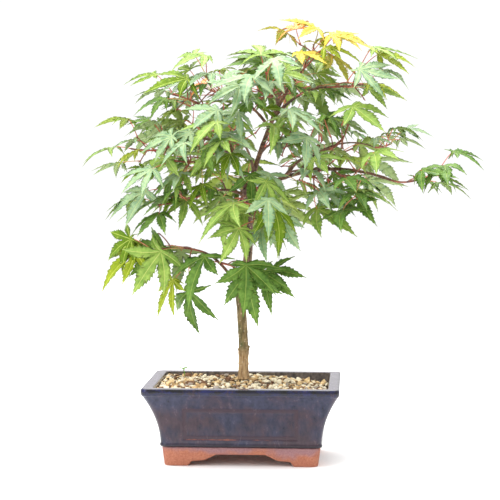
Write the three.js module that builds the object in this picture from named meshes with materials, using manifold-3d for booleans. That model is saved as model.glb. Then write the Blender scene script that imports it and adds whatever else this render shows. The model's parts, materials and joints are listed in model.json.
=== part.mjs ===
// A small potted maple tree in a glazed rectangular pot, in millimetres, +Z up.
// The pot stands at z = 0 and its front faces -Y. Headings are degrees round +Z from +X,
// so 270 faces the front, and a rise is degrees above the level.
import * as THREE from 'three';
import { mergeVertices } from 'three/addons/utils/BufferGeometryUtils.js';
import Module from 'manifold-3d';

// Clear gap between pieces that touch.
const GAP = 0.3;

// Pot: outer sizes at the rim, and how far each part of it lies in from the rim's edge.
const POT_WIDTH = 200;
const POT_DEPTH = 150;
const POT_HEIGHT = 81;
const POT_CORNER = 7;
const RIM_WIDTH = 11.8;
const RIM_ROUNDING = 1;
const LIP_BOTTOM = 73.5;
const LIP_STEP = 1.2;
const GLAZE_BOTTOM = 19.9;
const GLAZE_BOTTOM_INSET = 18.1;
const FLARE_POWER = 2;
const FLARE_STEPS = 7;
const CAVITY_FLOOR = 27;
const CAVITY_CORNER = 4;
const CAVITY_SLOPE = 0.27;
const CORNER_SEGMENTS = 2;

// Unglazed base with a bracket foot at each corner.
const BASE_TOP = GLAZE_BOTTOM - GAP;
const BASE_TOP_INSET = 19.4;
const BASE_BOTTOM_INSET = 21.8;
const FOOT_HEIGHT = 12;
const FOOT_STEP_HEIGHT = 5;
const FOOT_THICKNESS = 14;
const FRONT_GAP = { top: 25, step: 37, shoulder: 50, sole: 54 };
const SIDE_GAP = { top: 8, step: 17, shoulder: 27, sole: 31 };

// Soil and gravel: the trunk stands on a low mound, and the far right corner lies lower.
// The dip starts and ends at shares of the way from the pot's middle to that corner.
const SOIL_LEVEL = 78;
const SOIL_DIP = { depth: 8, start: 0.4, end: 0.8 };
const SOIL_RIPPLE = { height: 0.5, along: 30, across: 23 };
const SOIL_GRID = { across: 10, along: 8 };
const MOUND_TOP = 79.6;
const MOUND_TOP_RADIUS = 9;
const MOUND_FOOT_RADIUS = 24;
const MOUND_DEPTH = 4;
const MOUND_SIDES = 12;
const PEBBLE_COUNT = 16;
const PEBBLE_RADIUS = [3, 5];
const PEBBLE_DEPTH = [0.7, 1];
const PEBBLE_HEIGHT = [0.5, 0.8];
const PEBBLE_RISE = 0.1;
const PEBBLE_SEED = 5;

// Trunk: its course from the soil to the fork, and its swollen knots by height above the soil.
const TRUNK_COURSE = [
  { x: -2, y: 18, z: MOUND_TOP + GAP },
  { x: -2, y: 17, z: 118 },
  { x: -4, y: 16, z: 172 },
  { x: 3, y: 15, z: 212 },
  { x: 3, y: 14, z: 279 },
];
const TRUNK_RADIUS = { foot: 5.1, middle: 4.5, top: 4 };
const ROOT_FLARE = { radius: 1.2, height: 6 };
const TRUNK_SIDES = 8;
const TRUNK_STEPS = 18;
const TRUNK_KNOTS = [
  { height: 38, size: 0.5, spread: 4 },
  { height: 94, size: 1.2, spread: 7 },
  { height: 196, size: 3.3, spread: 9 },
];

// Boughs, and the twigs of a shoot: its stem, the spurs along it and the leaf stalks. An arch
// is the lift of a line's middle and a run is how far it keeps its first direction, each as a
// share of its length.
const BOUGH_ARCH = 0.12;
const BOUGH_TAPER = 0.55;
const BOUGH_SIDES = 5;
const BOUGH_STEPS = 4;
const STEM_RADIUS = 1;
const STEM_RUN = 0.4;
const STEM_SIDES = 4;
const STEM_STEPS = 2;
const SPUR_RADIUS = 0.85;
const SPUR_TIP_RADIUS = 0.75;
const SPUR_LENGTH = [12, 24];
const SPUR_SPREAD = 55;
const SPUR_WANDER = 12;
const FIRST_NODE = 0.5;
const NODE_ROOM = 0.3;
const PETIOLE_RADIUS = 0.45;
const PETIOLE_LENGTH = [17, 27];
const PETIOLE_SPREAD = 40;
const UPPER_PETIOLE_LIFT = 10;
const END_PETIOLE_LIFT = 25;
const PETIOLE_ROOT = 0.96;
const STALK_ARCH = 0.07;
const STALK_SIDES = 3;

// Leaves: their size, and how strongly each direction counts in the way they face and point.
const LEAF_LENGTH = 44;
const LEAF_SIZES = [0.85, 1.15];
const LEAF_THICKNESS = 0.04;
const LEAF_DROOP = 0.2;
const LEAF_FACING = { up: 0.55, outward: 0.5, broadside: 0.5, wander: 0.3 };
const LEAF_AXIS = { stalk: 0.5, outward: 0.55, hang: 0.5, wander: 0.3 };
const BROADSIDE_REACH = 50;
const BROADSIDE_SHIFT = 20;
const CROWN_CENTRE = new THREE.Vector3(8, 10, 285);

// Clearances between leaves, twigs and limbs. A leaf is tried again with a wider swing.
const LEAF_TRIES = 24;
const LEAF_SWING = 25;
const LEAF_SWING_STEP = 3;
const RISE_SWING = 0.7;
const BORDER_REACH = 16;
const LIMB_CLEARANCE = 2.5;
const LEAF_CLEARANCE = 4.5;
const TWIG_CLEARANCE = 2.2;
const TWIG_SAMPLE_STEP = 2.5;
const TWIG_ROOT = 0.25;
const SPOKE_SAMPLE = 0.55;
const LIMB_PIECES = 8;

// The lobes of a leaf: the angle from its middle line, and the reach as a share of its length.
const LOBES = [
  { angle: -126, reach: 0.34 },
  { angle: -80, reach: 0.7 },
  { angle: -40, reach: 0.92 },
  { angle: 0, reach: 1 },
  { angle: 40, reach: 0.92 },
  { angle: 80, reach: 0.7 },
  { angle: 126, reach: 0.34 },
];
const SINUS_REACH = 0.35;
const NOTCH_REACH = 0.12;

// Boughs in the order that they grow, each from a place along its parent, and the shoot of
// leaves that goes on from its tip. Lengths in millimetres, headings and rises in degrees.
const BRANCHES = [
  { name: 'leader', parent: 'trunk', along: 0.99, heading: 350, rise: 66, length: 133, radius: 3.2,
    shoot: { name: 'top', heading: 355, rise: 46, length: 38, nodes: 2, leaf: 0.76, seed: 11 } },
  { name: 'front', parent: 'leader', along: 0.12, heading: 258, rise: 32, length: 54, radius: 1.8,
    shoot: { name: 'front', heading: 240, rise: 8, length: 40, nodes: 2, leaf: 1, seed: 19 } },
  { name: 'upper_left', parent: 'leader', along: 0.42, heading: 200, rise: 38, length: 52, radius: 1.8,
    shoot: { name: 'upper_left', heading: 195, rise: 18, length: 34, nodes: 2, leaf: 0.9, seed: 32 } },
  { name: 'top_left', parent: 'leader', along: 0.6, heading: 265, rise: 12, length: 46, radius: 1.8,
    shoot: { name: 'top_left', heading: 250, rise: 8, length: 38, nodes: 2, leaf: 0.95, seed: 12 } },
  { name: 'top_right', parent: 'leader', along: 0.5, heading: 341, rise: 28, length: 66, radius: 2,
    shoot: { name: 'top_right', heading: 350, rise: 4, length: 44, nodes: 2, leaf: 1, seed: 13 } },
  { name: 'right', parent: 'trunk', along: 0.98, heading: 352, rise: 6, length: 150, radius: 2.8,
    shoot: { name: 'right', heading: 357, rise: 12, length: 52, nodes: 1, leaf: 1, seed: 14 } },
  { name: 'right_upper', parent: 'right', along: 0.36, heading: 325, rise: 34, length: 44, radius: 1.8,
    shoot: { name: 'right_upper', heading: 308, rise: 36, length: 42, nodes: 2, leaf: 1, seed: 15 } },
  { name: 'right_tip', parent: 'right_upper', along: 0.7, heading: 4, rise: 6, length: 56, radius: 1.2,
    shoot: { name: 'right_tip', heading: 2, rise: 10, length: 18, nodes: 1, leaf: 0.65, seed: 16 } },
  { name: 'right_front', parent: 'right', along: 0.26, heading: 300, rise: 8, length: 34, radius: 1.6,
    shoot: { name: 'right_front', heading: 320, rise: -8, length: 34, nodes: 2, leaf: 1, seed: 33 } },
  { name: 'right_lower', parent: 'right', along: 0.46, heading: 308, rise: -2, length: 40, radius: 1.8,
    shoot: { name: 'right_lower', heading: 318, rise: -10, length: 36, nodes: 2, leaf: 1, seed: 17 } },
  { name: 'front_right', parent: 'leader', along: 0.22, heading: 297, rise: 10, length: 52, radius: 1.8,
    shoot: { name: 'front_right', heading: 285, rise: 14, length: 44, nodes: 2, leaf: 1.1, seed: 18 } },
  { name: 'front_lower', parent: 'trunk', along: 0.97, heading: 283, rise: 0, length: 52, radius: 1.9,
    shoot: { name: 'front_lower', heading: 275, rise: -8, length: 38, nodes: 2, leaf: 1, seed: 20 } },
  { name: 'left', parent: 'trunk', along: 0.98, heading: 210, rise: 62, length: 98, radius: 2.8,
    shoot: { name: 'left_upper', heading: 196, rise: 24, length: 40, nodes: 2, leaf: 1, seed: 21 } },
  { name: 'left_outer', parent: 'left', along: 0.45, heading: 188, rise: 0, length: 60, radius: 1.8,
    shoot: { name: 'left_outer', heading: 184, rise: -4, length: 42, nodes: 2, leaf: 0.95, seed: 22 } },
  { name: 'left_middle', parent: 'left', along: 0.35, heading: 240, rise: -2, length: 44, radius: 1.8,
    shoot: { name: 'left_middle', heading: 215, rise: -4, length: 44, nodes: 2, leaf: 1, seed: 23 } },
  { name: 'left_lower', parent: 'trunk', along: 0.97, heading: 207, rise: 4, length: 50, radius: 2,
    shoot: { name: 'left_lower', heading: 202, rise: -12, length: 50, nodes: 2, leaf: 1.05, seed: 24 } },
  { name: 'low_left', parent: 'trunk', along: 0.49, heading: 204, rise: 46, length: 62, radius: 2.2,
    shoot: { name: 'low_left', heading: 192, rise: 2, length: 54, nodes: 2, leaf: 1.1, seed: 25 } },
  { name: 'low_front', parent: 'trunk', along: 0.51, heading: 256, rise: 38, length: 46, radius: 1.6,
    shoot: { name: 'low_front', heading: 245, rise: 8, length: 20, nodes: 1, leaf: 1.2, seed: 26 } },
  { name: 'low_right', parent: 'trunk', along: 0.66, heading: 300, rise: 6, length: 12, radius: 1.5,
    shoot: { name: 'low_right', heading: 285, rise: 0, length: 12, nodes: 0, leaf: 1.05, seed: 27 } },
  { name: 'back_top', parent: 'leader', along: 0.5, heading: 80, rise: 26, length: 74, radius: 2,
    shoot: { name: 'back_top', heading: 75, rise: 12, length: 44, nodes: 2, leaf: 1, seed: 28 } },
  { name: 'back_left', parent: 'left', along: 0.3, heading: 118, rise: 18, length: 76, radius: 2,
    shoot: { name: 'back_left', heading: 132, rise: 10, length: 46, nodes: 2, leaf: 1, seed: 29 } },
  { name: 'back_right', parent: 'right', along: 0.26, heading: 57, rise: 18, length: 76, radius: 2,
    shoot: { name: 'back_right', heading: 48, rise: 8, length: 46, nodes: 2, leaf: 1, seed: 30 } },
  { name: 'back_lower', parent: 'trunk', along: 0.97, heading: 92, rise: 4, length: 60, radius: 1.9,
    shoot: { name: 'back_lower', heading: 95, rise: -14, length: 44, nodes: 2, leaf: 1.05, seed: 31 } },
  { name: 'top_back', parent: 'leader', along: 0.72, heading: 100, rise: 24, length: 34, radius: 1.6,
    shoot: { name: 'top_back', heading: 110, rise: 16, length: 30, nodes: 2, leaf: 0.85, seed: 34 } },
];

// Spurs beyond the even growth, where a spray stands out of the crown: at the top, toward the
// left, and low at the front, hanging.
const EXTRA_SPURS = [
  { shoot: 'top', along: 0.7, heading: 178, rise: 36, length: 20 },
  { shoot: 'low_left', along: 0.25, heading: 250, rise: -62, length: 16 },
];

const wasm = await Module();
wasm.setup();

// A closed geometry as a solid that can be joined and cut.
function solidOf(geometry) {
  const bare = geometry.clone();
  bare.deleteAttribute('normal');
  bare.deleteAttribute('uv');
  const merged = mergeVertices(bare, 1e-4);
  return new wasm.Manifold(new wasm.Mesh({
    numProp: 3,
    vertProperties: new Float32Array(merged.attributes.position.array),
    triVerts: new Uint32Array(merged.index.array),
  }));
}

// The geometry of a solid. A scrap that a cut left loose is dropped.
function geometryOf(solid) {
  const bodies = solid.decompose();
  const largest = bodies.reduce((best, body) => (body.volume() > best.volume() ? body : best));
  const mesh = largest.getMesh();
  const geometry = new THREE.BufferGeometry();
  geometry.setAttribute('position', new THREE.BufferAttribute(mesh.vertProperties, 3));
  geometry.setIndex(new THREE.BufferAttribute(mesh.triVerts, 1));
  geometry.computeVertexNormals();
  return geometry;
}

function joined(solids) {
  return solids.reduce((whole, solid) => whole.add(solid));
}

// Seeded draws between two bounds.
function seededDraws(seed) {
  let state = (seed * 48271) % 2147483647;
  return (low, high) => {
    state = (state * 16807) % 2147483647;
    return low + (high - low) * (state / 2147483647);
  };
}

function direction(heading, rise) {
  const turn = THREE.MathUtils.degToRad(heading);
  const lift = THREE.MathUtils.degToRad(rise);
  return new THREE.Vector3(
    Math.cos(turn) * Math.cos(lift),
    Math.sin(turn) * Math.cos(lift),
    Math.sin(lift),
  );
}

// Pot

function roundedRectangle(halfWidth, halfDepth, corner) {
  const shape = new THREE.Shape();
  const centres = [[1, 1], [-1, 1], [-1, -1], [1, -1]];
  centres.forEach(([sideX, sideY], quarter) => {
    const x = sideX * (halfWidth - corner);
    const y = sideY * (halfDepth - corner);
    const start = (quarter * Math.PI) / 2;
    shape.absarc(x, y, corner, start, start + Math.PI / 2, false);
  });
  shape.closePath();
  return shape;
}

// A rounded rectangle stacked through rows of { z, inset }, where the inset moves its sides in.
function stackedTray(rows, corner) {
  const shape = roundedRectangle(POT_WIDTH / 2, POT_DEPTH / 2, corner);
  const steps = rows.length - 1;
  const options = { depth: steps, steps, bevelEnabled: false, curveSegments: CORNER_SEGMENTS };
  const geometry = new THREE.ExtrudeGeometry(shape, options);
  const place = geometry.attributes.position;
  for (let i = 0; i < place.count; i += 1) {
    const row = rows[Math.round(place.getZ(i))];
    const x = place.getX(i);
    const y = place.getY(i);
    place.setXYZ(i, x - Math.sign(x) * row.inset, y - Math.sign(y) * row.inset, row.z);
  }
  return solidOf(geometry);
}

// The wall flares out in a hollow curve from the bottom of the glaze to the lip.
function wallInset(z) {
  const fall = (LIP_BOTTOM - z) / (LIP_BOTTOM - GLAZE_BOTTOM);
  return LIP_STEP + (GLAZE_BOTTOM_INSET - LIP_STEP) * (1 - (1 - fall) ** FLARE_POWER);
}

function cavityInset(z) {
  return RIM_WIDTH + (POT_HEIGHT - z) * CAVITY_SLOPE;
}

function cavity(gap) {
  const above = POT_HEIGHT + 10;
  return stackedTray([
    { z: CAVITY_FLOOR + gap, inset: cavityInset(CAVITY_FLOOR) + gap },
    { z: above, inset: cavityInset(above) + gap },
  ], CAVITY_CORNER);
}

function potBody() {
  const rows = [];
  for (let step = 0; step <= FLARE_STEPS; step += 1) {
    const z = GLAZE_BOTTOM + ((LIP_BOTTOM - GLAZE_BOTTOM) * step) / FLARE_STEPS;
    rows.push({ z, inset: wallInset(z) });
  }
  rows.push({ z: LIP_BOTTOM + RIM_ROUNDING, inset: 0 });
  rows.push({ z: POT_HEIGHT - RIM_ROUNDING, inset: 0 });
  rows.push({ z: POT_HEIGHT, inset: RIM_ROUNDING });
  return stackedTray(rows, POT_CORNER).subtract(cavity(0));
}

// The space between two feet, seen from the side, as a bar that runs right through the base.
function footGap(gap, length) {
  const half = [
    [gap.sole, -1],
    [gap.sole, 0],
    [gap.shoulder, FOOT_STEP_HEIGHT],
    [gap.step, FOOT_STEP_HEIGHT + 1],
    [gap.top, FOOT_HEIGHT],
  ];
  const mirrored = half.map(([x, z]) => [-x, z]).reverse();
  const shape = new THREE.Shape([...half, ...mirrored].map(([x, z]) => new THREE.Vector2(x, z)));
  const bar = new THREE.ExtrudeGeometry(shape, { depth: length, bevelEnabled: false });
  bar.translate(0, 0, -length / 2);
  bar.rotateX(Math.PI / 2);
  return bar;
}

function potBase() {
  const body = stackedTray([
    { z: 0, inset: BASE_BOTTOM_INSET },
    { z: BASE_TOP, inset: BASE_TOP_INSET },
  ], POT_CORNER);
  const inside = 2 * (BASE_BOTTOM_INSET + FOOT_THICKNESS);
  const hollow = new THREE.BoxGeometry(POT_WIDTH - inside, POT_DEPTH - inside, 2 * FOOT_HEIGHT);
  const sideways = footGap(SIDE_GAP, POT_WIDTH).rotateZ(Math.PI / 2);
  return body
    .subtract(solidOf(hollow))
    .subtract(solidOf(footGap(FRONT_GAP, POT_DEPTH)))
    .subtract(solidOf(sideways));
}

// Soil

function soilHeight(x, y) {
  const towardFarRight = x / POT_WIDTH + y / POT_DEPTH;
  const dip = THREE.MathUtils.smoothstep(towardFarRight, SOIL_DIP.start, SOIL_DIP.end);
  const along = Math.sin((2 * Math.PI * x) / SOIL_RIPPLE.along);
  const across = Math.cos((2 * Math.PI * y) / SOIL_RIPPLE.across);
  return SOIL_LEVEL - SOIL_DIP.depth * dip + SOIL_RIPPLE.height * (along + across);
}

function soilMass() {
  const level = POT_HEIGHT / 2;
  const { across, along } = SOIL_GRID;
  const block = new THREE.BoxGeometry(POT_WIDTH, POT_DEPTH, POT_HEIGHT, across, along, 1);
  block.translate(0, 0, level);
  const place = block.attributes.position;
  for (let i = 0; i < place.count; i += 1) {
    if (place.getZ(i) > level) place.setZ(i, soilHeight(place.getX(i), place.getY(i)));
  }
  return solidOf(block).intersect(cavity(GAP));
}

// The firm, flat-topped mound that the trunk stands on.
function mound() {
  const height = MOUND_TOP - SOIL_LEVEL + MOUND_DEPTH;
  const cone = new THREE.CylinderGeometry(MOUND_TOP_RADIUS, MOUND_FOOT_RADIUS, height, MOUND_SIDES);
  cone.rotateX(Math.PI / 2);
  cone.translate(TRUNK_COURSE[0].x, TRUNK_COURSE[0].y, MOUND_TOP - height / 2);
  return solidOf(cone);
}

function pebbles() {
  const draw = seededDraws(PEBBLE_SEED);
  const stones = [];
  while (stones.length < PEBBLE_COUNT) {
    const radius = draw(...PEBBLE_RADIUS);
    const room = cavityInset(SOIL_LEVEL) + radius + GAP;
    const x = draw(-1, 1) * (POT_WIDTH / 2 - room);
    const y = draw(-1, 1) * (POT_DEPTH / 2 - room);
    const stone = new THREE.IcosahedronGeometry(radius, 0);
    stone.scale(1, draw(...PEBBLE_DEPTH), draw(...PEBBLE_HEIGHT));
    stone.rotateZ(draw(0, Math.PI));
    stone.translate(x, y, soilHeight(x, y) + radius * PEBBLE_RISE);
    const fromTrunk = Math.hypot(x - TRUNK_COURSE[0].x, y - TRUNK_COURSE[0].y);
    if (fromTrunk > MOUND_FOOT_RADIUS) stones.push(solidOf(stone));
  }
  return joined(stones);
}

// Limbs

// A line that bends once: its middle is lifted off the straight way by a share of its length.
function bendingLine(start, heading, rise, length, arch) {
  const end = direction(heading, rise).multiplyScalar(length).add(start);
  const middle = start.clone().lerp(end, 0.5);
  middle.z += 2 * arch * length;
  return new THREE.QuadraticBezierCurve3(start, middle, end);
}

// A bar of many sides laid along a line, with its own radius at each place along it.
function limb(line, radiusAt, sides, steps) {
  const corners = [];
  for (let side = 0; side < sides; side += 1) {
    const turn = (side / sides) * 2 * Math.PI;
    corners.push(new THREE.Vector2(Math.cos(turn), Math.sin(turn)));
  }
  const options = { depth: steps, steps, bevelEnabled: false };
  const bar = new THREE.ExtrudeGeometry(new THREE.Shape(corners), options);
  const chord = line.getPoint(1).sub(line.getPoint(0)).normalize();
  const across = Math.abs(chord.z) > 0.8 ? new THREE.Vector3(0, 1, 0) : new THREE.Vector3(0, 0, 1);
  const place = bar.attributes.position;
  for (let i = 0; i < place.count; i += 1) {
    const along = Math.round(place.getZ(i)) / steps;
    const tangent = line.getTangent(along);
    const first = across.clone().cross(tangent).normalize();
    const second = tangent.clone().cross(first);
    const radius = radiusAt(along);
    const point = line.getPoint(along)
      .addScaledVector(first, place.getX(i) * radius)
      .addScaledVector(second, place.getY(i) * radius);
    place.setXYZ(i, point.x, point.y, point.z);
  }
  return solidOf(bar);
}

function taper(from, to) {
  return (along) => from + (to - from) * along;
}

function trunkRadius(along) {
  const height = along * (TRUNK_COURSE.at(-1).z - TRUNK_COURSE[0].z);
  const { foot, middle, top } = TRUNK_RADIUS;
  const shaft = along < 0.5 ? taper(foot, middle)(2 * along) : taper(middle, top)(2 * along - 1);
  const knots = TRUNK_KNOTS.reduce(
    (sum, knot) => sum + knot.size * Math.exp(-(((height - knot.height) / knot.spread) ** 2)),
    0,
  );
  return shaft + knots + ROOT_FLARE.radius * Math.exp(-height / ROOT_FLARE.height);
}

function trunkLimb() {
  const points = TRUNK_COURSE.map(({ x, y, z }) => new THREE.Vector3(x, y, z));
  const line = new THREE.CatmullRomCurve3(points, false, 'catmullrom', 0.5);
  return { name: 'trunk', line, radiusAt: trunkRadius, sides: TRUNK_SIDES, steps: TRUNK_STEPS };
}

function boughLimb(branch, limbs) {
  const parent = limbs.find((other) => other.name === branch.parent);
  const start = parent.line.getPoint(branch.along);
  const line = bendingLine(start, branch.heading, branch.rise, branch.length, BOUGH_ARCH);
  const radiusAt = taper(branch.radius, branch.radius * BOUGH_TAPER);
  return { name: branch.name, line, radiusAt, sides: BOUGH_SIDES, steps: BOUGH_STEPS };
}

function limbSolid({ line, radiusAt, sides, steps }, gap) {
  return limb(line, (along) => radiusAt(along) + gap, sides, steps);
}

// Leaves

// The outline of a flat leaf, as turns and reaches about the place where its stalk joins it.
function leafOutline() {
  const outline = [];
  LOBES.forEach((lobe, index) => {
    const next = LOBES[index + 1];
    outline.push([lobe.angle, lobe.reach]);
    if (next) outline.push([(lobe.angle + next.angle) / 2, SINUS_REACH]);
  });
  outline.push([180, NOTCH_REACH]);
  return outline;
}

// A point of a leaf at a turn and a reach, with its tips drooping below its middle.
function leafPoint(leaf, turn, reach) {
  const angle = THREE.MathUtils.degToRad(turn);
  return leaf.joint.clone()
    .addScaledVector(leaf.axis, Math.cos(angle) * reach * leaf.length)
    .addScaledVector(leaf.side, Math.sin(angle) * reach * leaf.length)
    .addScaledVector(leaf.facing, -LEAF_DROOP * reach * reach * leaf.length);
}

// A thin solid leaf: its outline, with one point above and one below the stalk's joint.
function leafSolid(leaf) {
  const half = (LEAF_THICKNESS * leaf.length) / 2;
  const top = leaf.joint.clone().addScaledVector(leaf.facing, half);
  const bottom = leaf.joint.clone().addScaledVector(leaf.facing, -half);
  const points = [...leaf.rim, top, bottom];
  const count = leaf.rim.length;
  const faces = leaf.rim.flatMap((point, index) => {
    const next = (index + 1) % count;
    return [index, next, count, next, index, count + 1];
  });
  const geometry = new THREE.BufferGeometry().setFromPoints(points);
  geometry.setIndex(faces);
  return solidOf(geometry);
}

// Clearances

function edgesAlong(points) {
  return points.slice(1).map((point, index) => [points[index], point]);
}

function linePoints(line, from, count) {
  const step = (1 - from) / count;
  return Array.from({ length: count + 1 }, (unused, index) => line.getPoint(from + index * step));
}

// A twig as the edges and the close-set points that its clearances are measured on. Its first
// part, where it grows out of its parent, is left out.
function twigShape(line) {
  const chord = line.getPoint(0).distanceTo(line.getPoint(1));
  const count = Math.ceil(chord / TWIG_SAMPLE_STEP);
  return {
    edges: edgesAlong(linePoints(line, TWIG_ROOT, 2)),
    faces: [],
    samples: linePoints(line, TWIG_ROOT, count),
    middle: line.getPoint(0.5),
    reach: chord / 2,
  };
}

// A leaf as its edges, its faces and points spread over it.
function leafShape(leaf) {
  const { rim, joint } = leaf;
  const faces = rim.map((point, index) => [joint, point, rim[(index + 1) % rim.length]]);
  const samples = [joint];
  faces.forEach(([, point, next]) => {
    samples.push(point, joint.clone().lerp(point, SPOKE_SAMPLE));
    samples.push(point.clone().add(next).add(joint).divideScalar(3));
  });
  const edges = faces.flatMap(([, point, next]) => [[joint, point], [point, next]]);
  return { edges, faces, samples, middle: joint, reach: leaf.length };
}

function distanceToSegment(point, start, end) {
  const line = end.clone().sub(start);
  const share = point.clone().sub(start).dot(line) / line.lengthSq();
  return line.multiplyScalar(THREE.MathUtils.clamp(share, 0, 1)).add(start).distanceTo(point);
}

function nearest(points, others) {
  let least = Infinity;
  points.forEach((point) => others.forEach((other) => {
    least = Math.min(least, point.distanceToSquared(other));
  }));
  return Math.sqrt(least);
}

function edgeCrossesFace([start, end], [a, b, c]) {
  const ray = new THREE.Ray(start, end.clone().sub(start).normalize());
  const hit = ray.intersectTriangle(a, b, c, false, new THREE.Vector3());
  return hit !== null && hit.distanceTo(start) < start.distanceTo(end);
}

function crosses(edges, faces) {
  return edges.some((edge) => faces.some((face) => edgeCrossesFace(edge, face)));
}

// Whether two leaves or twigs come nearer than a clearance, or cut through each other.
function meets(shape, other, clearance) {
  const room = shape.middle.distanceTo(other.middle) - shape.reach - other.reach;
  if (room > clearance) return false;
  return nearest(shape.samples, other.samples) < clearance
    || crosses(shape.edges, other.faces)
    || crosses(other.edges, shape.faces);
}

// Whether a leaf or twig comes nearer to the bark of a limb than a clearance, or is cut by it.
function meetsLimb(shape, { line, radiusAt }, clearance) {
  const edges = edgesAlong(linePoints(line, 0, LIMB_PIECES));
  const near = edges.some(([start, end], piece) => {
    const bark = radiusAt((piece + 0.5) / LIMB_PIECES) + clearance;
    return shape.samples.some((point) => distanceToSegment(point, start, end) < bark);
  });
  return near || crosses(edges, shape.faces);
}

// A mass keeps to its own space: the points that lie nearer to its own stem than to another
// mass's stem, and a little way over the border.
function inOwnSpace(point, own, stems) {
  const distance = distanceToSegment(point, own.start, own.end) - BORDER_REACH;
  return stems.every((stem) => stem === own || distanceToSegment(point, stem.start, stem.end) > distance);
}

// Shoots

// A leaf at the end of a stalk. It faces up, out of the crown and to the nearer of its two
// broad sides, and its tip hangs outward. The stalk ends between the notch and the middle.
function placeLeaf(start, heading, rise, stalkLength, length, draw) {
  const stalk = bendingLine(start, heading, rise, stalkLength, STALK_ARCH);
  const foot = stalk.getPoint(1);
  const out = foot.clone().sub(CROWN_CENTRE).normalize();
  const behind = (foot.y - CROWN_CENTRE.y - BROADSIDE_SHIFT) / BROADSIDE_REACH;
  const broadside = THREE.MathUtils.clamp(behind, -1, 1);
  const wander = new THREE.Vector3(draw(-1, 1), draw(-1, 1), draw(-1, 1));
  const facing = new THREE.Vector3(0, LEAF_FACING.broadside * broadside, LEAF_FACING.up)
    .addScaledVector(out, LEAF_FACING.outward)
    .addScaledVector(wander, LEAF_FACING.wander)
    .normalize();
  const sway = new THREE.Vector3(draw(-1, 1), draw(-1, 1), 0);
  const axis = new THREE.Vector3(0, 0, -LEAF_AXIS.hang)
    .addScaledVector(direction(heading, rise), LEAF_AXIS.stalk)
    .addScaledVector(out, LEAF_AXIS.outward)
    .addScaledVector(sway, LEAF_AXIS.wander);
  axis.addScaledVector(facing, -axis.dot(facing)).normalize();
  const side = facing.clone().cross(axis);
  const joint = foot.clone().addScaledVector(axis, (NOTCH_REACH / 2) * length);
  const leaf = { stalk, joint, axis, side, facing, length };
  leaf.rim = leafOutline().map(([turn, reach]) => leafPoint(leaf, turn, reach));
  return leaf;
}

// One shoot: a stem that goes on from its bough, opposite spurs along it, a pair of leaves on
// each spur and three at the tip, and any extra spurs. A leaf is tried at several turns and skipped if each would
// leave the shoot's space or come too near a limb, a twig or another leaf.
function growShoot(branch, limbs, stems, grown) {
  const { shoot } = branch;
  const own = stems.find((stem) => stem.name === shoot.name);
  const draw = seededDraws(shoot.seed);
  const bend = own.start.clone().addScaledVector(own.tangent, STEM_RUN * shoot.length);
  const stem = new THREE.QuadraticBezierCurve3(own.start, bend, own.end);
  const twigs = [{ line: stem, from: STEM_RADIUS, to: SPUR_RADIUS, shape: twigShape(stem) }];
  const leaves = [];
  const crowd = () => [...grown, { twigs, leaves }];

  const fits = (shape, clearance) => (
    shape.samples.every((point) => inOwnSpace(point, own, stems))
    && !limbs.some((other) => meetsLimb(shape, other, clearance))
    && !crowd().some((mass) => mass.twigs.some((twig) => meets(shape, twig.shape, clearance)))
  );

  const addLeaf = (start, heading, rise) => {
    for (let turn = 0; turn < LEAF_TRIES; turn += 1) {
      const swing = LEAF_SWING + turn * LEAF_SWING_STEP;
      const turned = heading + draw(-swing, swing);
      const raised = rise + draw(-swing, swing) * RISE_SWING;
      const stalkLength = draw(...PETIOLE_LENGTH) * Math.sqrt(shoot.leaf);
      const length = LEAF_LENGTH * shoot.leaf * draw(...LEAF_SIZES);
      const leaf = placeLeaf(start, turned, raised, stalkLength, length, draw);
      leaf.shape = leafShape(leaf);
      leaf.stalkShape = twigShape(leaf.stalk);
      const apart = crowd().every((mass) => mass.leaves.every((other) => (
        !meets(leaf.shape, other.shape, LEAF_CLEARANCE)
        && !meets(leaf.shape, other.stalkShape, TWIG_CLEARANCE)
        && !meets(leaf.stalkShape, other.shape, TWIG_CLEARANCE)
      )));
      if (apart && fits(leaf.shape, LIMB_CLEARANCE) && fits(leaf.stalkShape, TWIG_CLEARANCE)) {
        leaves.push(leaf);
        return;
      }
    }
  };

  const addSpur = (start, heading, rise, length) => {
    const line = bendingLine(start, heading, rise, length, STALK_ARCH);
    const twig = { line, from: SPUR_RADIUS, to: SPUR_TIP_RADIUS, shape: twigShape(line) };
    if (!fits(twig.shape, TWIG_CLEARANCE)) return;
    twigs.push(twig);
    addLeaf(line.getPoint(PETIOLE_ROOT), heading - PETIOLE_SPREAD, rise);
    addLeaf(line.getPoint(PETIOLE_ROOT), heading + PETIOLE_SPREAD, rise + UPPER_PETIOLE_LIFT);
  };

  for (let node = 0; node < shoot.nodes; node += 1) {
    const start = stem.getPoint((node + FIRST_NODE) / (shoot.nodes + NODE_ROOM));
    const level = node % 2 === 0;
    const sideways = level ? SPUR_SPREAD : SPUR_SPREAD / 2;
    const upward = level ? 0 : SPUR_SPREAD;
    [-1, 1].forEach((hand) => {
      const length = draw(...SPUR_LENGTH);
      const heading = shoot.heading + hand * sideways + draw(-SPUR_WANDER, SPUR_WANDER);
      const rise = shoot.rise + hand * upward + draw(-SPUR_WANDER, SPUR_WANDER);
      addSpur(start, heading, rise, length);
    });
  }
  const end = stem.getPoint(PETIOLE_ROOT);
  [-1, 0, 1].forEach((hand) => {
    const lift = hand === 0 ? END_PETIOLE_LIFT : 0;
    addLeaf(end, shoot.heading + hand * SPUR_SPREAD, shoot.rise + lift);
  });
  EXTRA_SPURS.filter((spur) => spur.shoot === shoot.name).forEach((spur) => {
    addSpur(stem.getPoint(spur.along), spur.heading, spur.rise, spur.length);
  });
  return { twigs, leaves };
}

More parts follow.
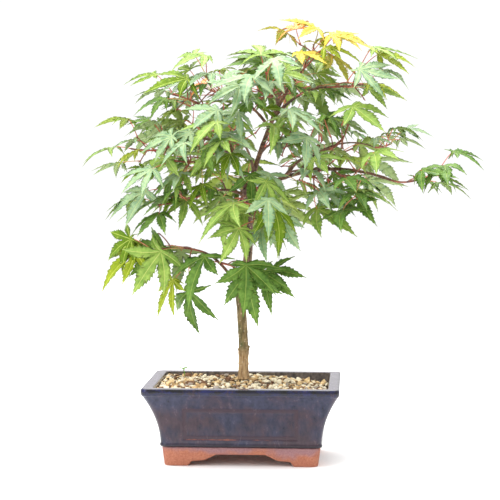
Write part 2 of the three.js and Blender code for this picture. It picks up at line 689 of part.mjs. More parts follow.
function shootSolid({ twigs, leaves }) {
  const [stem, ...spurs] = twigs;
  const wood = [limb(stem.line, taper(stem.from, stem.to), STEM_SIDES, STEM_STEPS)];
  spurs.forEach(({ line, from, to }) => wood.push(limb(line, taper(from, to), STALK_SIDES, 1)));
  const stalks = leaves.map(({ stalk }) => limb(stalk, () => PETIOLE_RADIUS, STALK_SIDES, 1));
  const blades = leaves.map(leafSolid);
  return joined([...wood, ...stalks, ...blades]);
}

// Materials

function finish(color, roughness, metalness) {
  return new THREE.MeshStandardMaterial({ color, roughness, metalness });
}

function piece(name, solid, material) {
  const mesh = new THREE.Mesh(geometryOf(solid), material);
  mesh.name = name;
  return mesh;
}

function buildPot(pot) {
  pot.add(piece('pot_body', potBody(), finish('#2b3350', 0.25, 0)));
  pot.add(piece('pot_base', potBase(), finish('#b06a45', 0.85, 0)));
  const soil = joined([soilMass(), mound(), pebbles()]);
  pot.add(piece('soil', soil, finish('#b09a7c', 0.95, 0)));
}

function buildTree(tree) {
  const bark = finish('#6b4a35', 0.85, 0);
  const leafGreen = finish('#4f8a3c', 0.6, 0);
  const limbs = [trunkLimb()];
  BRANCHES.forEach((branch) => limbs.push(boughLimb(branch, limbs)));

  limbs.forEach((own, index) => {
    const earlier = limbs.slice(0, index).map((other) => limbSolid(other, GAP));
    const wood = earlier.reduce((rest, other) => rest.subtract(other), limbSolid(own, 0));
    const name = own.name === 'trunk' ? 'trunk' : `bough_${own.name}`;
    tree.add(piece(name, wood, bark));
  });

  const stems = BRANCHES.map(({ name, shoot }) => {
    const { line } = limbs.find((other) => other.name === name);
    const tangent = line.getTangent(1);
    const start = line.getPoint(1).addScaledVector(tangent, GAP);
    const end = direction(shoot.heading, shoot.rise).multiplyScalar(shoot.length).add(start);
    return { name: shoot.name, start, end, tangent };
  });
  const grown = [];
  BRANCHES.forEach((branch) => {
    grown.push(growShoot(branch, limbs, stems, grown));
    tree.add(piece(`foliage_${branch.shoot.name}`, shootSolid(grown.at(-1)), leafGreen));
  });
}

// The origin is under the middle of the whole plant, at the level that the pot stands on.
function centred(group) {
  const box = new THREE.Box3().setFromObject(group, true);
  const middle = box.getCenter(new THREE.Vector3());
  group.position.set(-middle.x, -middle.y, -box.min.z);
  group.updateMatrixWorld(true);
  return group;
}

const plant = new THREE.Group();
buildPot(plant);
buildTree(plant);

export default centred(plant);
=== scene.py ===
import json
import math
from collections import namedtuple

import bmesh
import bpy
import numpy as np
from mathutils import Color, Matrix, Vector, noise

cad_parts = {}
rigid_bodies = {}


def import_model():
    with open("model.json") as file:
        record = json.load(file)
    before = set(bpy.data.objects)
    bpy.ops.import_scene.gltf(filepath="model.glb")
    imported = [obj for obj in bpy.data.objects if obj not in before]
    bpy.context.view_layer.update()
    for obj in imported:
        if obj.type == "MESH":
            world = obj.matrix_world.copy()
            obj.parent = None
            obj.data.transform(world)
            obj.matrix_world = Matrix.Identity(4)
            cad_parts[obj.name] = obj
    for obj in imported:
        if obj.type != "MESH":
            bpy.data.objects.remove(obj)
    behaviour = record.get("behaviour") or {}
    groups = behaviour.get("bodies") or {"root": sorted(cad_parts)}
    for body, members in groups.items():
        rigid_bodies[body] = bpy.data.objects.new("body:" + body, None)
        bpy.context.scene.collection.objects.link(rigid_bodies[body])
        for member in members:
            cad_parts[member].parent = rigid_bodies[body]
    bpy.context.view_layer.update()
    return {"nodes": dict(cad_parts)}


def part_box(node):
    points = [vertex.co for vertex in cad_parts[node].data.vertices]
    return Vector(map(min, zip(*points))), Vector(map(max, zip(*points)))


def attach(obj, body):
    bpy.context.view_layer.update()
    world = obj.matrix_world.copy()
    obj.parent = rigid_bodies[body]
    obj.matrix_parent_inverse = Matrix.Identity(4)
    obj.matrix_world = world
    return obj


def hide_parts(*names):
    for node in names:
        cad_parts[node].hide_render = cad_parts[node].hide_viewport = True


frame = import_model()

MM = 0.001
# The gap that the solids keep where they meet
GAP = 0.3

# Camera and image
IMAGE_SIZE = 500
FOCAL_PIXELS = 1713
SENSOR = 36
CAMERA_DISTANCE = 1771
CAMERA_ASIDE = 6
CAMERA_HEIGHT = 325.7
CAMERA_TURN = 3.62
CAMERA_PITCH = 3.53

# Pot: sizes at the rim, and how far each part of it lies in from the rim's edge
POT_WIDTH = 200
POT_DEPTH = 150
POT_HEIGHT = 81
POT_CORNER = 7
RIM_WIDTH = 11.8
LIP_BOTTOM = 73.5
LIP_STEP = 1.2
GLAZE_BOTTOM = 19.9
GLAZE_BOTTOM_INSET = 18.1
FLARE_POWER = 2
CAVITY_FLOOR = 27
CAVITY_SLOPE = 0.27
CAVITY_CORNER = 4
PANEL = {"half_width": 59, "bottom": 27, "top": 61, "border": 4, "depth": 0.7, "slope": 1.2}

# Soil: its level, its dip toward the far right corner, its ripples and the trunk's mound
SOIL_LEVEL = 78
SOIL_DIP = {"depth": 8, "start": 0.4, "end": 0.8}
SOIL_RIPPLE = {"height": 0.5, "along": 30, "across": 23}
MOUND_TOP = 79.6
MOUND_TOP_RADIUS = 9
MOUND_FOOT_RADIUS = 24
MOUND_DEPTH = 4

# Trunk: its course, its thickness, and its swollen knots by height above the soil
TRUNK_COURSE = ((-2, 18, MOUND_TOP + GAP), (-2, 17, 118), (-4, 16, 172), (3, 15, 212), (3, 14, 279))
TRUNK_RADIUS = {"foot": 5.1, "middle": 4.5, "top": 4}
TRUNK_KNOTS = ((38, 0.5, 4), (94, 1.2, 7), (196, 3.3, 9))
ROOT_FLARE = {"radius": 1.2, "height": 6}

# Boughs and the twigs of a shoot
BOUGH_ARCH = 0.12
BOUGH_TAPER = 0.55
STEM_RUN = 0.4
SPUR_LENGTH = (12, 24)
SPUR_SPREAD = 55
SPUR_WANDER = 12
FIRST_NODE = 0.5
NODE_ROOM = 0.3
PETIOLE_LENGTH = (17, 27)
PETIOLE_SPREAD = 40
UPPER_PETIOLE_LIFT = 10
END_PETIOLE_LIFT = 25
PETIOLE_ROOT = 0.96
STALK_ARCH = 0.07

# Leaves: their size, and how strongly each direction counts in the way they face and point
LEAF_LENGTH = 44
LEAF_SIZES = (0.85, 1.15)
LEAF_DROOP = 0.2
LEAF_FACING = {"up": 0.55, "outward": 0.5, "broadside": 0.5, "wander": 0.3}
LEAF_AXIS = {"stalk": 0.5, "outward": 0.55, "hang": 0.5, "wander": 0.3}
BROADSIDE_REACH = 50
BROADSIDE_SHIFT = 20
CROWN_CENTRE = np.array((8.0, 10.0, 285.0))
SOLID_LOBES = ((-126, 0.34), (-80, 0.7), (-40, 0.92), (0, 1), (40, 0.92), (80, 0.7), (126, 0.34))
SINUS_REACH = 0.35
NOTCH_REACH = 0.12

# Clearances, and how a leaf is tried again with a wider swing
LEAF_TRIES = 24
LEAF_SWING = 25
LEAF_SWING_STEP = 3
RISE_SWING = 0.7
BORDER_REACH = 16
TWIG_SAMPLE_STEP = 2.5
TWIG_EDGE_POINTS = 3
TWIG_ROOT = 0.25
SPOKE_SAMPLE = 0.55
LIMB_PIECES = 8

Shoot = namedtuple("Shoot", "name heading rise length nodes leaf seed tints lie")
Branch = namedtuple("Branch", "name parent along heading rise length radius shoot")

# Boughs in the order that they grow, each from a place along its parent, and the shoot of
# leaves that goes on from its tip. A shoot ends with the name of its mix of leaf colours, and
# how level its leaves lie, from 0, as the solids, to 1.
BRANCHES = (
    Branch("leader", "trunk", 0.99, 350, 66, 133, 3.2,
           Shoot("top", 355, 46, 38, 2, 0.76, 11, "gold", 0)),
    Branch("front", "leader", 0.12, 258, 32, 54, 1.8,
           Shoot("front", 240, 8, 40, 2, 1, 19, "sheen_mint", 0.25)),
    Branch("upper_left", "leader", 0.42, 200, 38, 52, 1.8,
           Shoot("upper_left", 195, 18, 34, 2, 0.9, 32, "vivid", 0.5)),
    Branch("top_left", "leader", 0.6, 265, 12, 46, 1.8,
           Shoot("top_left", 250, 8, 38, 2, 0.95, 12, "sheen_mint", 0.4)),
    Branch("top_right", "leader", 0.5, 341, 28, 66, 2,
           Shoot("top_right", 350, 4, 44, 2, 1, 13, "warm", 0.5)),
    Branch("right", "trunk", 0.98, 352, 6, 150, 2.8,
           Shoot("right", 357, 12, 52, 1, 1, 14, "dark", 0.95)),
    Branch("right_upper", "right", 0.36, 325, 34, 44, 1.8,
           Shoot("right_upper", 308, 36, 42, 2, 1, 15, "sheen_mint", 0.4)),
    Branch("right_tip", "right_upper", 0.7, 4, 6, 56, 1.2,
           Shoot("right_tip", 2, 10, 18, 1, 0.65, 16, "warm", 0.9)),
    Branch("right_front", "right", 0.26, 300, 8, 34, 1.6,
           Shoot("right_front", 320, -8, 34, 2, 1, 33, "green", 0.75)),
    Branch("right_lower", "right", 0.46, 308, -2, 40, 1.8,
           Shoot("right_lower", 318, -10, 36, 2, 1, 17, "deep_and_shaded", 0.85)),
    Branch("front_right", "leader", 0.22, 297, 10, 52, 1.8,
           Shoot("front_right", 285, 14, 44, 2, 1.1, 18, "green", 0.3)),
    Branch("front_lower", "trunk", 0.97, 283, 0, 52, 1.9,
           Shoot("front_lower", 275, -8, 38, 2, 1, 20, "green", 0.15)),
    Branch("left", "trunk", 0.98, 210, 62, 98, 2.8,
           Shoot("left_upper", 196, 24, 40, 2, 1, 21, "vivid", 0.7)),
    Branch("left_outer", "left", 0.45, 188, 0, 60, 1.8,
           Shoot("left_outer", 184, -4, 42, 2, 0.95, 22, "fresh", 0.85)),
    Branch("left_middle", "left", 0.35, 240, -2, 44, 1.8,
           Shoot("left_middle", 215, -4, 44, 2, 1, 23, "sheen_mint", 0.5)),
    Branch("left_lower", "trunk", 0.97, 207, 4, 50, 2,
           Shoot("left_lower", 202, -12, 50, 2, 1.05, 24, "deep_and_shaded", 0.55)),
    Branch("low_left", "trunk", 0.49, 204, 46, 62, 2.2,
           Shoot("low_left", 192, 2, 54, 2, 1.1, 25, "low", 0)),
    Branch("low_front", "trunk", 0.51, 256, 38, 46, 1.6,
           Shoot("low_front", 245, 8, 20, 1, 1.2, 26, "dark", 0.1)),
    Branch("low_right", "trunk", 0.66, 300, 6, 12, 1.5,
           Shoot("low_right", 285, 0, 12, 0, 1.05, 27, "dark", 0.3)),
    Branch("back_top", "leader", 0.5, 80, 26, 74, 2,
           Shoot("back_top", 75, 12, 44, 2, 1, 28, "sheen_mint", 0.4)),
    Branch("back_left", "left", 0.3, 118, 18, 76, 2,
           Shoot("back_left", 132, 10, 46, 2, 1, 29, "fresh", 0.5)),
    Branch("back_right", "right", 0.26, 57, 18, 76, 2,
           Shoot("back_right", 48, 8, 46, 2, 1, 30, "green", 0.6)),
    Branch("back_lower", "trunk", 0.97, 92, 4, 60, 1.9,
           Shoot("back_lower", 95, -14, 44, 2, 1.05, 31, "deep_and_shaded", 0.6)),
    Branch("top_back", "leader", 0.72, 100, 24, 34, 1.6,
           Shoot("top_back", 110, 16, 30, 2, 0.85, 34, "warm", 0.5)),
)

# Spurs beyond the even growth, where a spray stands out of the crown: a shoot, a share of its
# stem, and the spur's heading, rise and length
EXTRA_SPURS = (
    ("top", 0.7, 178, 36, 20),
    ("low_left", 0.25, 250, -62, 16),
)

# How close a pass of growth may come to limbs, leaves and twigs. The main pass is the solids' own.
Growth = namedtuple("Growth", "limb_gap leaf_gap twig_gap leaf_scale least_leaf seed_step")
MAIN_GROWTH = Growth(limb_gap=2.5, leaf_gap=4.5, twig_gap=2.2, leaf_scale=1, least_leaf=0,
                     seed_step=0)
FINE_GROWTH = Growth(limb_gap=1.2, leaf_gap=1.2, twig_gap=0.9, leaf_scale=0.8, least_leaf=0.9,
                     seed_step=100)

# Finer spurs grow in pairs along boughs and stems, in the inner crown, which is densest
FINE_NODE_SPACING = 9
FINE_SPUR_LENGTH = (5, 16)
FINE_SPUR_SPREAD = 78
# How much of their spread the upright pairs take, and then the level ones
FINE_SIDEWAYS = (0.3, 1)
FINE_UPWARD = (1, 0.2)
INNER_CENTRE = np.array((8.0, 8.0, 318.0))
INNER_REACH = np.array((88.0, 82.0, 112.0))
FORK_CLEARANCE = 24
REACH_ALLOWANCE = 6

# The modulus of the seeded draws, and the factors of a seed and of each next draw
DRAW_MODULUS = 2147483647
SEED_FACTOR = 48271
DRAW_FACTOR = 16807


# Lines in space, each a function from places, 0 at its start and 1 at its end, to points

def direction(heading, rise):
    turn, lift = math.radians(heading), math.radians(rise)
    return np.array((math.cos(turn) * math.cos(lift), math.sin(turn) * math.cos(lift), math.sin(lift)))


def unit(vectors):
    return vectors / np.linalg.norm(vectors, axis=-1, keepdims=True)


def bend(start, middle, end):
    def line(share):
        share = np.asarray(share, float)[..., None]
        rest = 1 - share
        return rest * rest * start + 2 * rest * share * middle + share * share * end
    return line


def bending_line(start, heading, rise, length, arch):
    """A line that bends once: its middle is lifted by a share of its length."""
    end = direction(heading, rise) * length + start
    middle = (start + end) / 2
    middle[2] += 2 * arch * length
    return bend(start, middle, end)


def smooth_course(points):
    """A smooth line through points, each stretch between two of them an equal share of it."""
    points = np.array(points, float)
    first = 2 * points[0] - points[1]
    last = 2 * points[-1] - points[-2]
    knots = np.vstack((first, points, last))

    def line(share):
        place = np.asarray(share, float) * (len(points) - 1)
        piece = np.minimum(place.astype(int), len(points) - 2)
        part = (place - piece)[..., None]
        before, start, end, after = (knots[piece + step] for step in range(4))
        slope_in, slope_out = (end - before) / 2, (after - start) / 2
        square = -3 * start + 3 * end - 2 * slope_in - slope_out
        cube = 2 * start - 2 * end + slope_in + slope_out
        return start + slope_in * part + square * part * part + cube * part * part * part
    return line


NEAR_END = 0.9999


def end_direction(line):
    return unit(line(1) - line(NEAR_END))


def seeded_draws(seed):
    """Seeded draws between two bounds."""
    state = seed * SEED_FACTOR % DRAW_MODULUS

    def draw(low, high):
        nonlocal state
        state = state * DRAW_FACTOR % DRAW_MODULUS
        return low + (high - low) * (state / DRAW_MODULUS)
    return draw


# Limbs

def taper(start, end):
    return lambda share: start + (end - start) * share


def swell(place, at, spread):
    """A soft bump round a place: 1 there, and down to 0 on both sides."""
    return np.exp(-(((place - at) / spread) ** 2))


def trunk_height(share):
    return share * (TRUNK_COURSE[-1][2] - TRUNK_COURSE[0][2])


def trunk_radius(share):
    height = trunk_height(share)
    foot, middle, top = TRUNK_RADIUS["foot"], TRUNK_RADIUS["middle"], TRUNK_RADIUS["top"]
    shaft = np.interp(share, (0, 0.5, 1), (foot, middle, top))
    knots = sum(size * swell(height, at, spread) for at, size, spread in TRUNK_KNOTS)
    return shaft + knots + ROOT_FLARE["radius"] * np.exp(-height / ROOT_FLARE["height"])


def grow_limbs():
    limbs = {"trunk": (smooth_course(TRUNK_COURSE), trunk_radius)}
    for branch in BRANCHES:
        parent, _ = limbs[branch.parent]
        start = parent(branch.along)
        line = bending_line(start, branch.heading, branch.rise, branch.length, BOUGH_ARCH)
        limbs[branch.name] = (line, taper(branch.radius, branch.radius * BOUGH_TAPER))
    return limbs


# Clearances between leaves, twigs and limbs

Shape = namedtuple("Shape", "edges faces samples middle reach")
NO_FACES = np.zeros((0, 3, 3))


def edges_along(points):
    return np.stack((points[:-1], points[1:]), axis=1)


def twig_shape(line):
    """A twig as edges and close-set points, without its first part, where it leaves its parent."""
    chord = np.linalg.norm(line(1) - line(0))
    count = math.ceil(chord / TWIG_SAMPLE_STEP)
    edges = edges_along(line(np.linspace(TWIG_ROOT, 1, TWIG_EDGE_POINTS)))
    samples = line(np.linspace(TWIG_ROOT, 1, count + 1))
    return Shape(edges, NO_FACES, samples, line(0.5), chord / 2)


def leaf_shape(joint, rim, length):
    """A leaf as its edges, its faces and points spread over it."""
    following = np.roll(rim, -1, axis=0)
    joints = np.broadcast_to(joint, rim.shape)
    faces = np.stack((joints, rim, following), axis=1)
    spokes = joint + (rim - joint) * SPOKE_SAMPLE
    middles = (rim + following + joint) / 3
    samples = np.vstack((joint[None], rim, spokes, middles))
    edges = np.vstack((np.stack((joints, rim), axis=1), np.stack((rim, following), axis=1)))
    return Shape(edges, faces, samples, joint, length)


def segment_distances(points, starts, ends):
    """How far each point lies from each segment."""
    ways = ends - starts
    offsets = points[:, None] - starts
    shares = (offsets * ways).sum(-1) / (ways * ways).sum(-1)
    return np.linalg.norm(offsets - np.clip(shares, 0, 1)[..., None] * ways, axis=-1)


def crosses(edges, faces):
    """Whether any edge cuts through any face."""
    if not len(edges) or not len(faces):
        return False
    start = edges[:, None, 0]
    way = edges[:, None, 1] - start
    corner = faces[None, :, 0]
    first = faces[None, :, 1] - corner
    second = faces[None, :, 2] - corner
    across = np.cross(way, second)
    facing = (first * across).sum(-1)
    facing = np.where(facing == 0, np.inf, facing)
    offset = start - corner
    turned = np.cross(offset, first)
    along_first = (offset * across).sum(-1) / facing
    along_second = (way * turned).sum(-1) / facing
    along_edge = (second * turned).sum(-1) / facing
    inside = (along_first >= 0) & (along_second >= 0) & (along_first + along_second <= 1)
    return bool((inside & (along_edge >= 0) & (along_edge < 1)).any())


class Crowd:
    """The leaves or twigs grown so far, kept for their clearances."""

    def __init__(self):
        self.shapes = []
        self.middles = np.zeros((0, 3))
        self.reaches = np.zeros(0)

    def add(self, shape):
        self.shapes.append(shape)
        self.middles = np.vstack((self.middles, shape.middle))
        self.reaches = np.append(self.reaches, shape.reach)

    def meets(self, shape, clearance):
        """Whether a shape comes nearer to any of them than a clearance, or cuts through it."""
        room = np.linalg.norm(self.middles - shape.middle, axis=1) - shape.reach - self.reaches
        near = [self.shapes[index] for index in np.flatnonzero(room <= clearance)]
        if not near:
            return False
        others = np.concatenate([other.samples for other in near])
        gaps = ((shape.samples[:, None] - others) ** 2).sum(-1)
        if gaps.min() < clearance * clearance:
            return True
        if crosses(shape.edges, np.concatenate([other.faces for other in near])):
            return True
        return crosses(np.concatenate([other.edges for other in near]), shape.faces)


# Shoots

Twig = namedtuple("Twig", "line kind")
Leaf = namedtuple("Leaf", "stalk joint axis side facing length shoot seed")


def solid_rim():
    """The outline that clearances are measured on, as turns in degrees and reaches."""
    rim = []
    for index, (angle, reach) in enumerate(SOLID_LOBES):
        rim.append((angle, reach))
        if index + 1 < len(SOLID_LOBES):
            rim.append(((angle + SOLID_LOBES[index + 1][0]) / 2, SINUS_REACH))
    rim.append((180, NOTCH_REACH))
    return np.radians([turn for turn, _ in rim]), np.array([reach for _, reach in rim])


RIM_TURNS, RIM_REACHES = solid_rim()


def place_leaf(start, heading, rise, stalk_length, length, draw, shoot, seed):
    """A leaf at the end of a stalk, facing up, out of the crown and to the nearer broad side."""
    stalk = bending_line(start, heading, rise, stalk_length, STALK_ARCH)
    foot = stalk(1)
    out = unit(foot - CROWN_CENTRE)
    behind = (foot[1] - CROWN_CENTRE[1] - BROADSIDE_SHIFT) / BROADSIDE_REACH
    broadside = min(max(behind, -1), 1)
    wander = np.array([draw(-1, 1) for _ in range(3)])
    facing = np.array((0, LEAF_FACING["broadside"] * broadside, LEAF_FACING["up"]))
    facing = unit(facing + out * LEAF_FACING["outward"] + wander * LEAF_FACING["wander"])
    sway = np.array((draw(-1, 1), draw(-1, 1), 0))
    axis = np.array((0, 0, -LEAF_AXIS["hang"])) + direction(heading, rise) * LEAF_AXIS["stalk"]
    axis = axis + out * LEAF_AXIS["outward"] + sway * LEAF_AXIS["wander"]
    axis = unit(axis - facing * axis.dot(facing))
    side = np.cross(facing, axis)
    joint = foot + axis * (NOTCH_REACH / 2 * length)
    return Leaf(stalk, joint, axis, side, facing, length, shoot, seed)


def leaf_rim(leaf):
    forward = np.outer(np.cos(RIM_TURNS) * RIM_REACHES, leaf.axis)
    sideways = np.outer(np.sin(RIM_TURNS) * RIM_REACHES, leaf.side)
    down = np.outer(LEAF_DROOP * RIM_REACHES ** 2, leaf.facing)
    return leaf.joint + (forward + sideways - down) * leaf.length


class Plant:
    """The limbs, and the twigs and leaves that shoots have grown so far."""

    def __init__(self):
        self.limbs = grow_limbs()
        self.stems = {}
        for branch in BRANCHES:
            line, _ = self.limbs[branch.name]
            tangent = end_direction(line)
            start = line(1) + tangent * GAP
            shoot = branch.shoot
            end = direction(shoot.heading, shoot.rise) * shoot.length + start
            self.stems[shoot.name] = (start, end, tangent)
        self.stem_starts = np.array([start for start, _, _ in self.stems.values()])
        self.stem_ends = np.array([end for _, end, _ in self.stems.values()])
        shares = np.linspace(0, 1, LIMB_PIECES + 1)
        pieces = [edges_along(line(shares)) for line, _ in self.limbs.values()]
        self.limb_edges = np.concatenate(pieces)
        middles = (np.arange(LIMB_PIECES) + 0.5) / LIMB_PIECES
        self.limb_radii = np.concatenate([radius(middles) for _, radius in self.limbs.values()])
        self.twig_crowd, self.leaf_crowd, self.stalk_crowd = Crowd(), Crowd(), Crowd()
        self.twigs, self.leaves = [], []

    def in_own_space(self, points, own):
        distances = segment_distances(points, self.stem_starts, self.stem_ends)
        others = np.delete(distances, own, axis=1)
        return bool((others > distances[:, own:own + 1] - BORDER_REACH).all())

    def meets_limb(self, shape, clearance):
        distances = segment_distances(shape.samples, self.limb_edges[:, 0], self.limb_edges[:, 1])
        if (distances < self.limb_radii + clearance).any():
            return True
        return crosses(self.limb_edges, shape.faces)


def stem_line(plant, shoot):
    start, end, tangent = plant.stems[shoot.name]
    return bend(start, start + tangent * STEM_RUN * shoot.length, end)


class Grower:
    """Grows one shoot's leaves and spurs. A leaf is tried at several turns, and skipped if each
    would leave the shoot's space or come too near a limb, a twig or another leaf."""

    def __init__(self, plant, branch, growth, reach=None):
        self.plant, self.shoot, self.growth, self.reach = plant, branch.shoot, growth, reach
        self.own = list(plant.stems).index(branch.shoot.name)
        self.draw = seeded_draws(branch.shoot.seed + growth.seed_step)

    def fits(self, shape, clearance):
        if not self.plant.in_own_space(shape.samples, self.own):
            return False
        if self.reach is not None:
            low, high = self.reach
            if (shape.samples < low).any() or (shape.samples > high).any():
                return False
        if self.plant.meets_limb(shape, clearance):
            return False
        return not self.plant.twig_crowd.meets(shape, clearance)

    def add_leaf(self, start, heading, rise):
        plant, growth, draw = self.plant, self.growth, self.draw
        size = max(self.shoot.leaf, growth.least_leaf) * growth.leaf_scale
        for turn in range(LEAF_TRIES):
            swing = LEAF_SWING + turn * LEAF_SWING_STEP
            turned = heading + draw(-swing, swing)
            raised = rise + draw(-swing, swing) * RISE_SWING
            stalk_length = draw(*PETIOLE_LENGTH) * math.sqrt(size)
            length = LEAF_LENGTH * size * draw(*LEAF_SIZES)
            seed = len(plant.leaves)
            leaf = place_leaf(start, turned, raised, stalk_length, length, draw, self.shoot, seed)
            blade = leaf_shape(leaf.joint, leaf_rim(leaf), length)
            stalk = twig_shape(leaf.stalk)
            if (self.fits(blade, growth.limb_gap) and self.fits(stalk, growth.twig_gap)
                    and not plant.leaf_crowd.meets(blade, growth.leaf_gap)
                    and not plant.stalk_crowd.meets(blade, growth.twig_gap)
                    and not plant.leaf_crowd.meets(stalk, growth.twig_gap)):
                plant.leaves.append(leaf)
                plant.leaf_crowd.add(blade)
                plant.stalk_crowd.add(stalk)
                return

    def add_spur(self, start, heading, rise, length):
        line = bending_line(start, heading, rise, length, STALK_ARCH)
        shape = twig_shape(line)
        if not self.fits(shape, self.growth.twig_gap):
            return
        self.plant.twigs.append(Twig(line, "spur"))
        self.plant.twig_crowd.add(shape)
        tip = line(PETIOLE_ROOT)
        leaves = len(self.plant.leaves)
        self.add_leaf(tip, heading - PETIOLE_SPREAD, rise)
        self.add_leaf(tip, heading + PETIOLE_SPREAD, rise + UPPER_PETIOLE_LIFT)
        if self.growth is FINE_GROWTH and len(self.plant.leaves) == leaves:
            self.plant.twigs.pop()


def grow_main(plant, branch):
    """The shoot of the solids: opposite spurs along its stem, and three leaves at the tip."""
    grower = Grower(plant, branch, MAIN_GROWTH)
    shoot, draw = branch.shoot, grower.draw
    stem = stem_line(plant, shoot)
    plant.twigs.append(Twig(stem, "stem"))
    plant.twig_crowd.add(twig_shape(stem))
    for node in range(shoot.nodes):
        start = stem((node + FIRST_NODE) / (shoot.nodes + NODE_ROOM))
        level = node % 2 == 0
        sideways = SPUR_SPREAD if level else SPUR_SPREAD / 2
        upward = 0 if level else SPUR_SPREAD
        for hand in (-1, 1):
            length = draw(*SPUR_LENGTH)
            heading = shoot.heading + hand * sideways + draw(-SPUR_WANDER, SPUR_WANDER)
            rise = shoot.rise + hand * upward + draw(-SPUR_WANDER, SPUR_WANDER)
            grower.add_spur(start, heading, rise, length)
    end = stem(PETIOLE_ROOT)
    for hand in (-1, 0, 1):
        lift = END_PETIOLE_LIFT if hand == 0 else 0
        grower.add_leaf(end, shoot.heading + hand * SPUR_SPREAD, shoot.rise + lift)
    for name, share, heading, rise, length in EXTRA_SPURS:
        if name == shoot.name:
            grower.add_spur(stem(share), heading, rise, length)


def grow_fine(plant, branch, reach):
    """Finer spurs by the same rule along the bough and its stem, where they lie in the inner
    crown. Each pair stands a quarter turn from the pair before it."""
    inner = branch._replace(shoot=branch.shoot._replace(tints="inner"))
    grower = Grower(plant, inner, FINE_GROWTH, reach)
    draw = grower.draw
    bough, _ = plant.limbs[branch.name]
    for line, length in ((bough, branch.length), (stem_line(plant, branch.shoot), branch.shoot.length)):
        count = int(length / FINE_NODE_SPACING)
        for node in range(1, count + 1):
            start = line((node - 0.5) / count)
            by_fork = np.linalg.norm(start - TRUNK_COURSE[-1]) < FORK_CLEARANCE
            if by_fork or np.linalg.norm((start - INNER_CENTRE) / INNER_REACH) > 1:
                continue
            level = node % 2 == 0
            for hand in (-1, 1):
                length = draw(*FINE_SPUR_LENGTH)
                sideways = hand * FINE_SPUR_SPREAD * FINE_SIDEWAYS[level]
                upward = hand * FINE_UPWARD[level] * SPUR_SPREAD
                heading = branch.heading + sideways + draw(-SPUR_WANDER, SPUR_WANDER)
                rise = upward + draw(-SPUR_WANDER, SPUR_WANDER)
                grower.add_spur(start, heading, rise, length)


# Placing meshes in the frame

MOST_PIECE_TRIANGLES = 190000

base_low, base_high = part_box("pot_base")
SHIFT = np.array(((base_low.x + base_high.x) / 2, (base_low.y + base_high.y) / 2, 0))


def placed(points):
    return np.asarray(points, float) * MM + SHIFT


def local(point):
    return (np.array(point) - SHIFT) / MM


def new_object(name, data):
    thing = bpy.data.objects.new(name, data)
    bpy.context.scene.collection.objects.link(thing)
    return thing


def mesh_object(name, points, blocks, materials, marks=0, smooth=True, values=None):
    """A mesh from points in millimetres and arrays of faces of three or four corners. Marks are
    the faces' places among the materials, and values are numbers by name for each point."""
    mesh = bpy.data.meshes.new(name)
    faces = [face for block in blocks for face in block.tolist()]
    mesh.from_pydata(placed(points).tolist(), [], faces)
    mesh.polygons.foreach_set("use_smooth", np.full(len(faces), smooth))
    mesh.polygons.foreach_set("material_index", np.full(len(faces), marks))
    for value_name, numbers in (values or {}).items():
        layer = mesh.attributes.new(value_name, "FLOAT", "POINT")
        layer.data.foreach_set("value", numbers)
    for entry in materials:
        mesh.materials.append(entry)
    mesh.update(calc_edges=True)
    mesh.validate()
    return new_object(name, mesh)


def dress(piece, slot, *nodes):
    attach(piece, "root")
    if nodes:
        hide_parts(*nodes)


class Pile:
    """Points, faces and face materials of many small shapes, joined into one mesh."""

    def __init__(self):
        self.points, self.faces, self.marks, self.count = [], [], [], 0

    def add(self, points, *blocks, mark=0):
        """Adds a shape's points, with one or more arrays of the faces between them."""
        for faces in blocks:
            self.faces.append(faces + self.count)
            self.marks.append(np.broadcast_to(mark, len(faces)))
        self.points.append(points)
        self.count += len(points)

    def built(self, name, materials, smooth=True):
        points, marks = np.concatenate(self.points), np.concatenate(self.marks)
        return mesh_object(name, points, self.faces, materials, marks, smooth)


def ring_faces(rings, sides):
    """Four-cornered faces between rings of points, each ring following the one before."""
    ring = np.arange(rings - 1)[:, None] * sides
    side = np.arange(sides)
    after = (side + 1) % sides
    quads = np.stack((ring + side, ring + after, ring + sides + after, ring + sides + side), axis=-1)
    return quads.reshape(-1, 4)


def end_caps(rings, sides):
    """Fans over the first and last ring, round the two points that follow all the rings."""
    side = np.arange(sides)
    after = (side + 1) % sides
    last = (rings - 1) * sides
    centre = rings * sides
    first_cap = np.stack((after, side, np.full(sides, centre)), axis=-1)
    last_cap = np.stack((side + last, after + last, np.full(sides, centre + 1)), axis=-1)
    return np.vstack((first_cap, last_cap))


# How steep a bar is, as a share of its length, when its rings are laid out as an upright's
UPRIGHT = 0.8


def tube(points, radii, sides):
    """The points, walls and caps of a closed round bar along a row of points. Its radii are one
    for each row, or one for each row and side."""
    rows = len(points)
    tangents = unit(np.gradient(points, axis=0))
    chord = unit(points[-1] - points[0])
    across = np.array((0, 1, 0)) if abs(chord[2]) > UPRIGHT else np.array((0, 0, 1))
    first = unit(np.cross(across, tangents))
    second = np.cross(tangents, first)
    turns = np.arange(sides) / sides * 2 * math.pi
    radii = np.asarray(radii, float)
    radii = np.broadcast_to(radii[:, None] if radii.ndim == 1 else radii, (rows, sides))
    spokes = first[:, None] * np.cos(turns)[:, None] + second[:, None] * np.sin(turns)[:, None]
    rings = points[:, None] + spokes * radii[..., None]
    all_points = np.vstack((rings.reshape(-1, 3), points[0], points[-1]))
    return all_points, ring_faces(rows, sides), end_caps(rows, sides)


# Materials

# Where a mix node keeps its two colours among its inputs, and the result among its outputs
MIX_COLOURS = (6, 7)
MIX_RESULT = 2


def linear(colour):
    """A colour given as it looks, 0 to 255, turned into the amounts of light that shaders take."""
    return (*Color(np.array(colour) / 255).from_srgb_to_scene_linear(), 1.0)


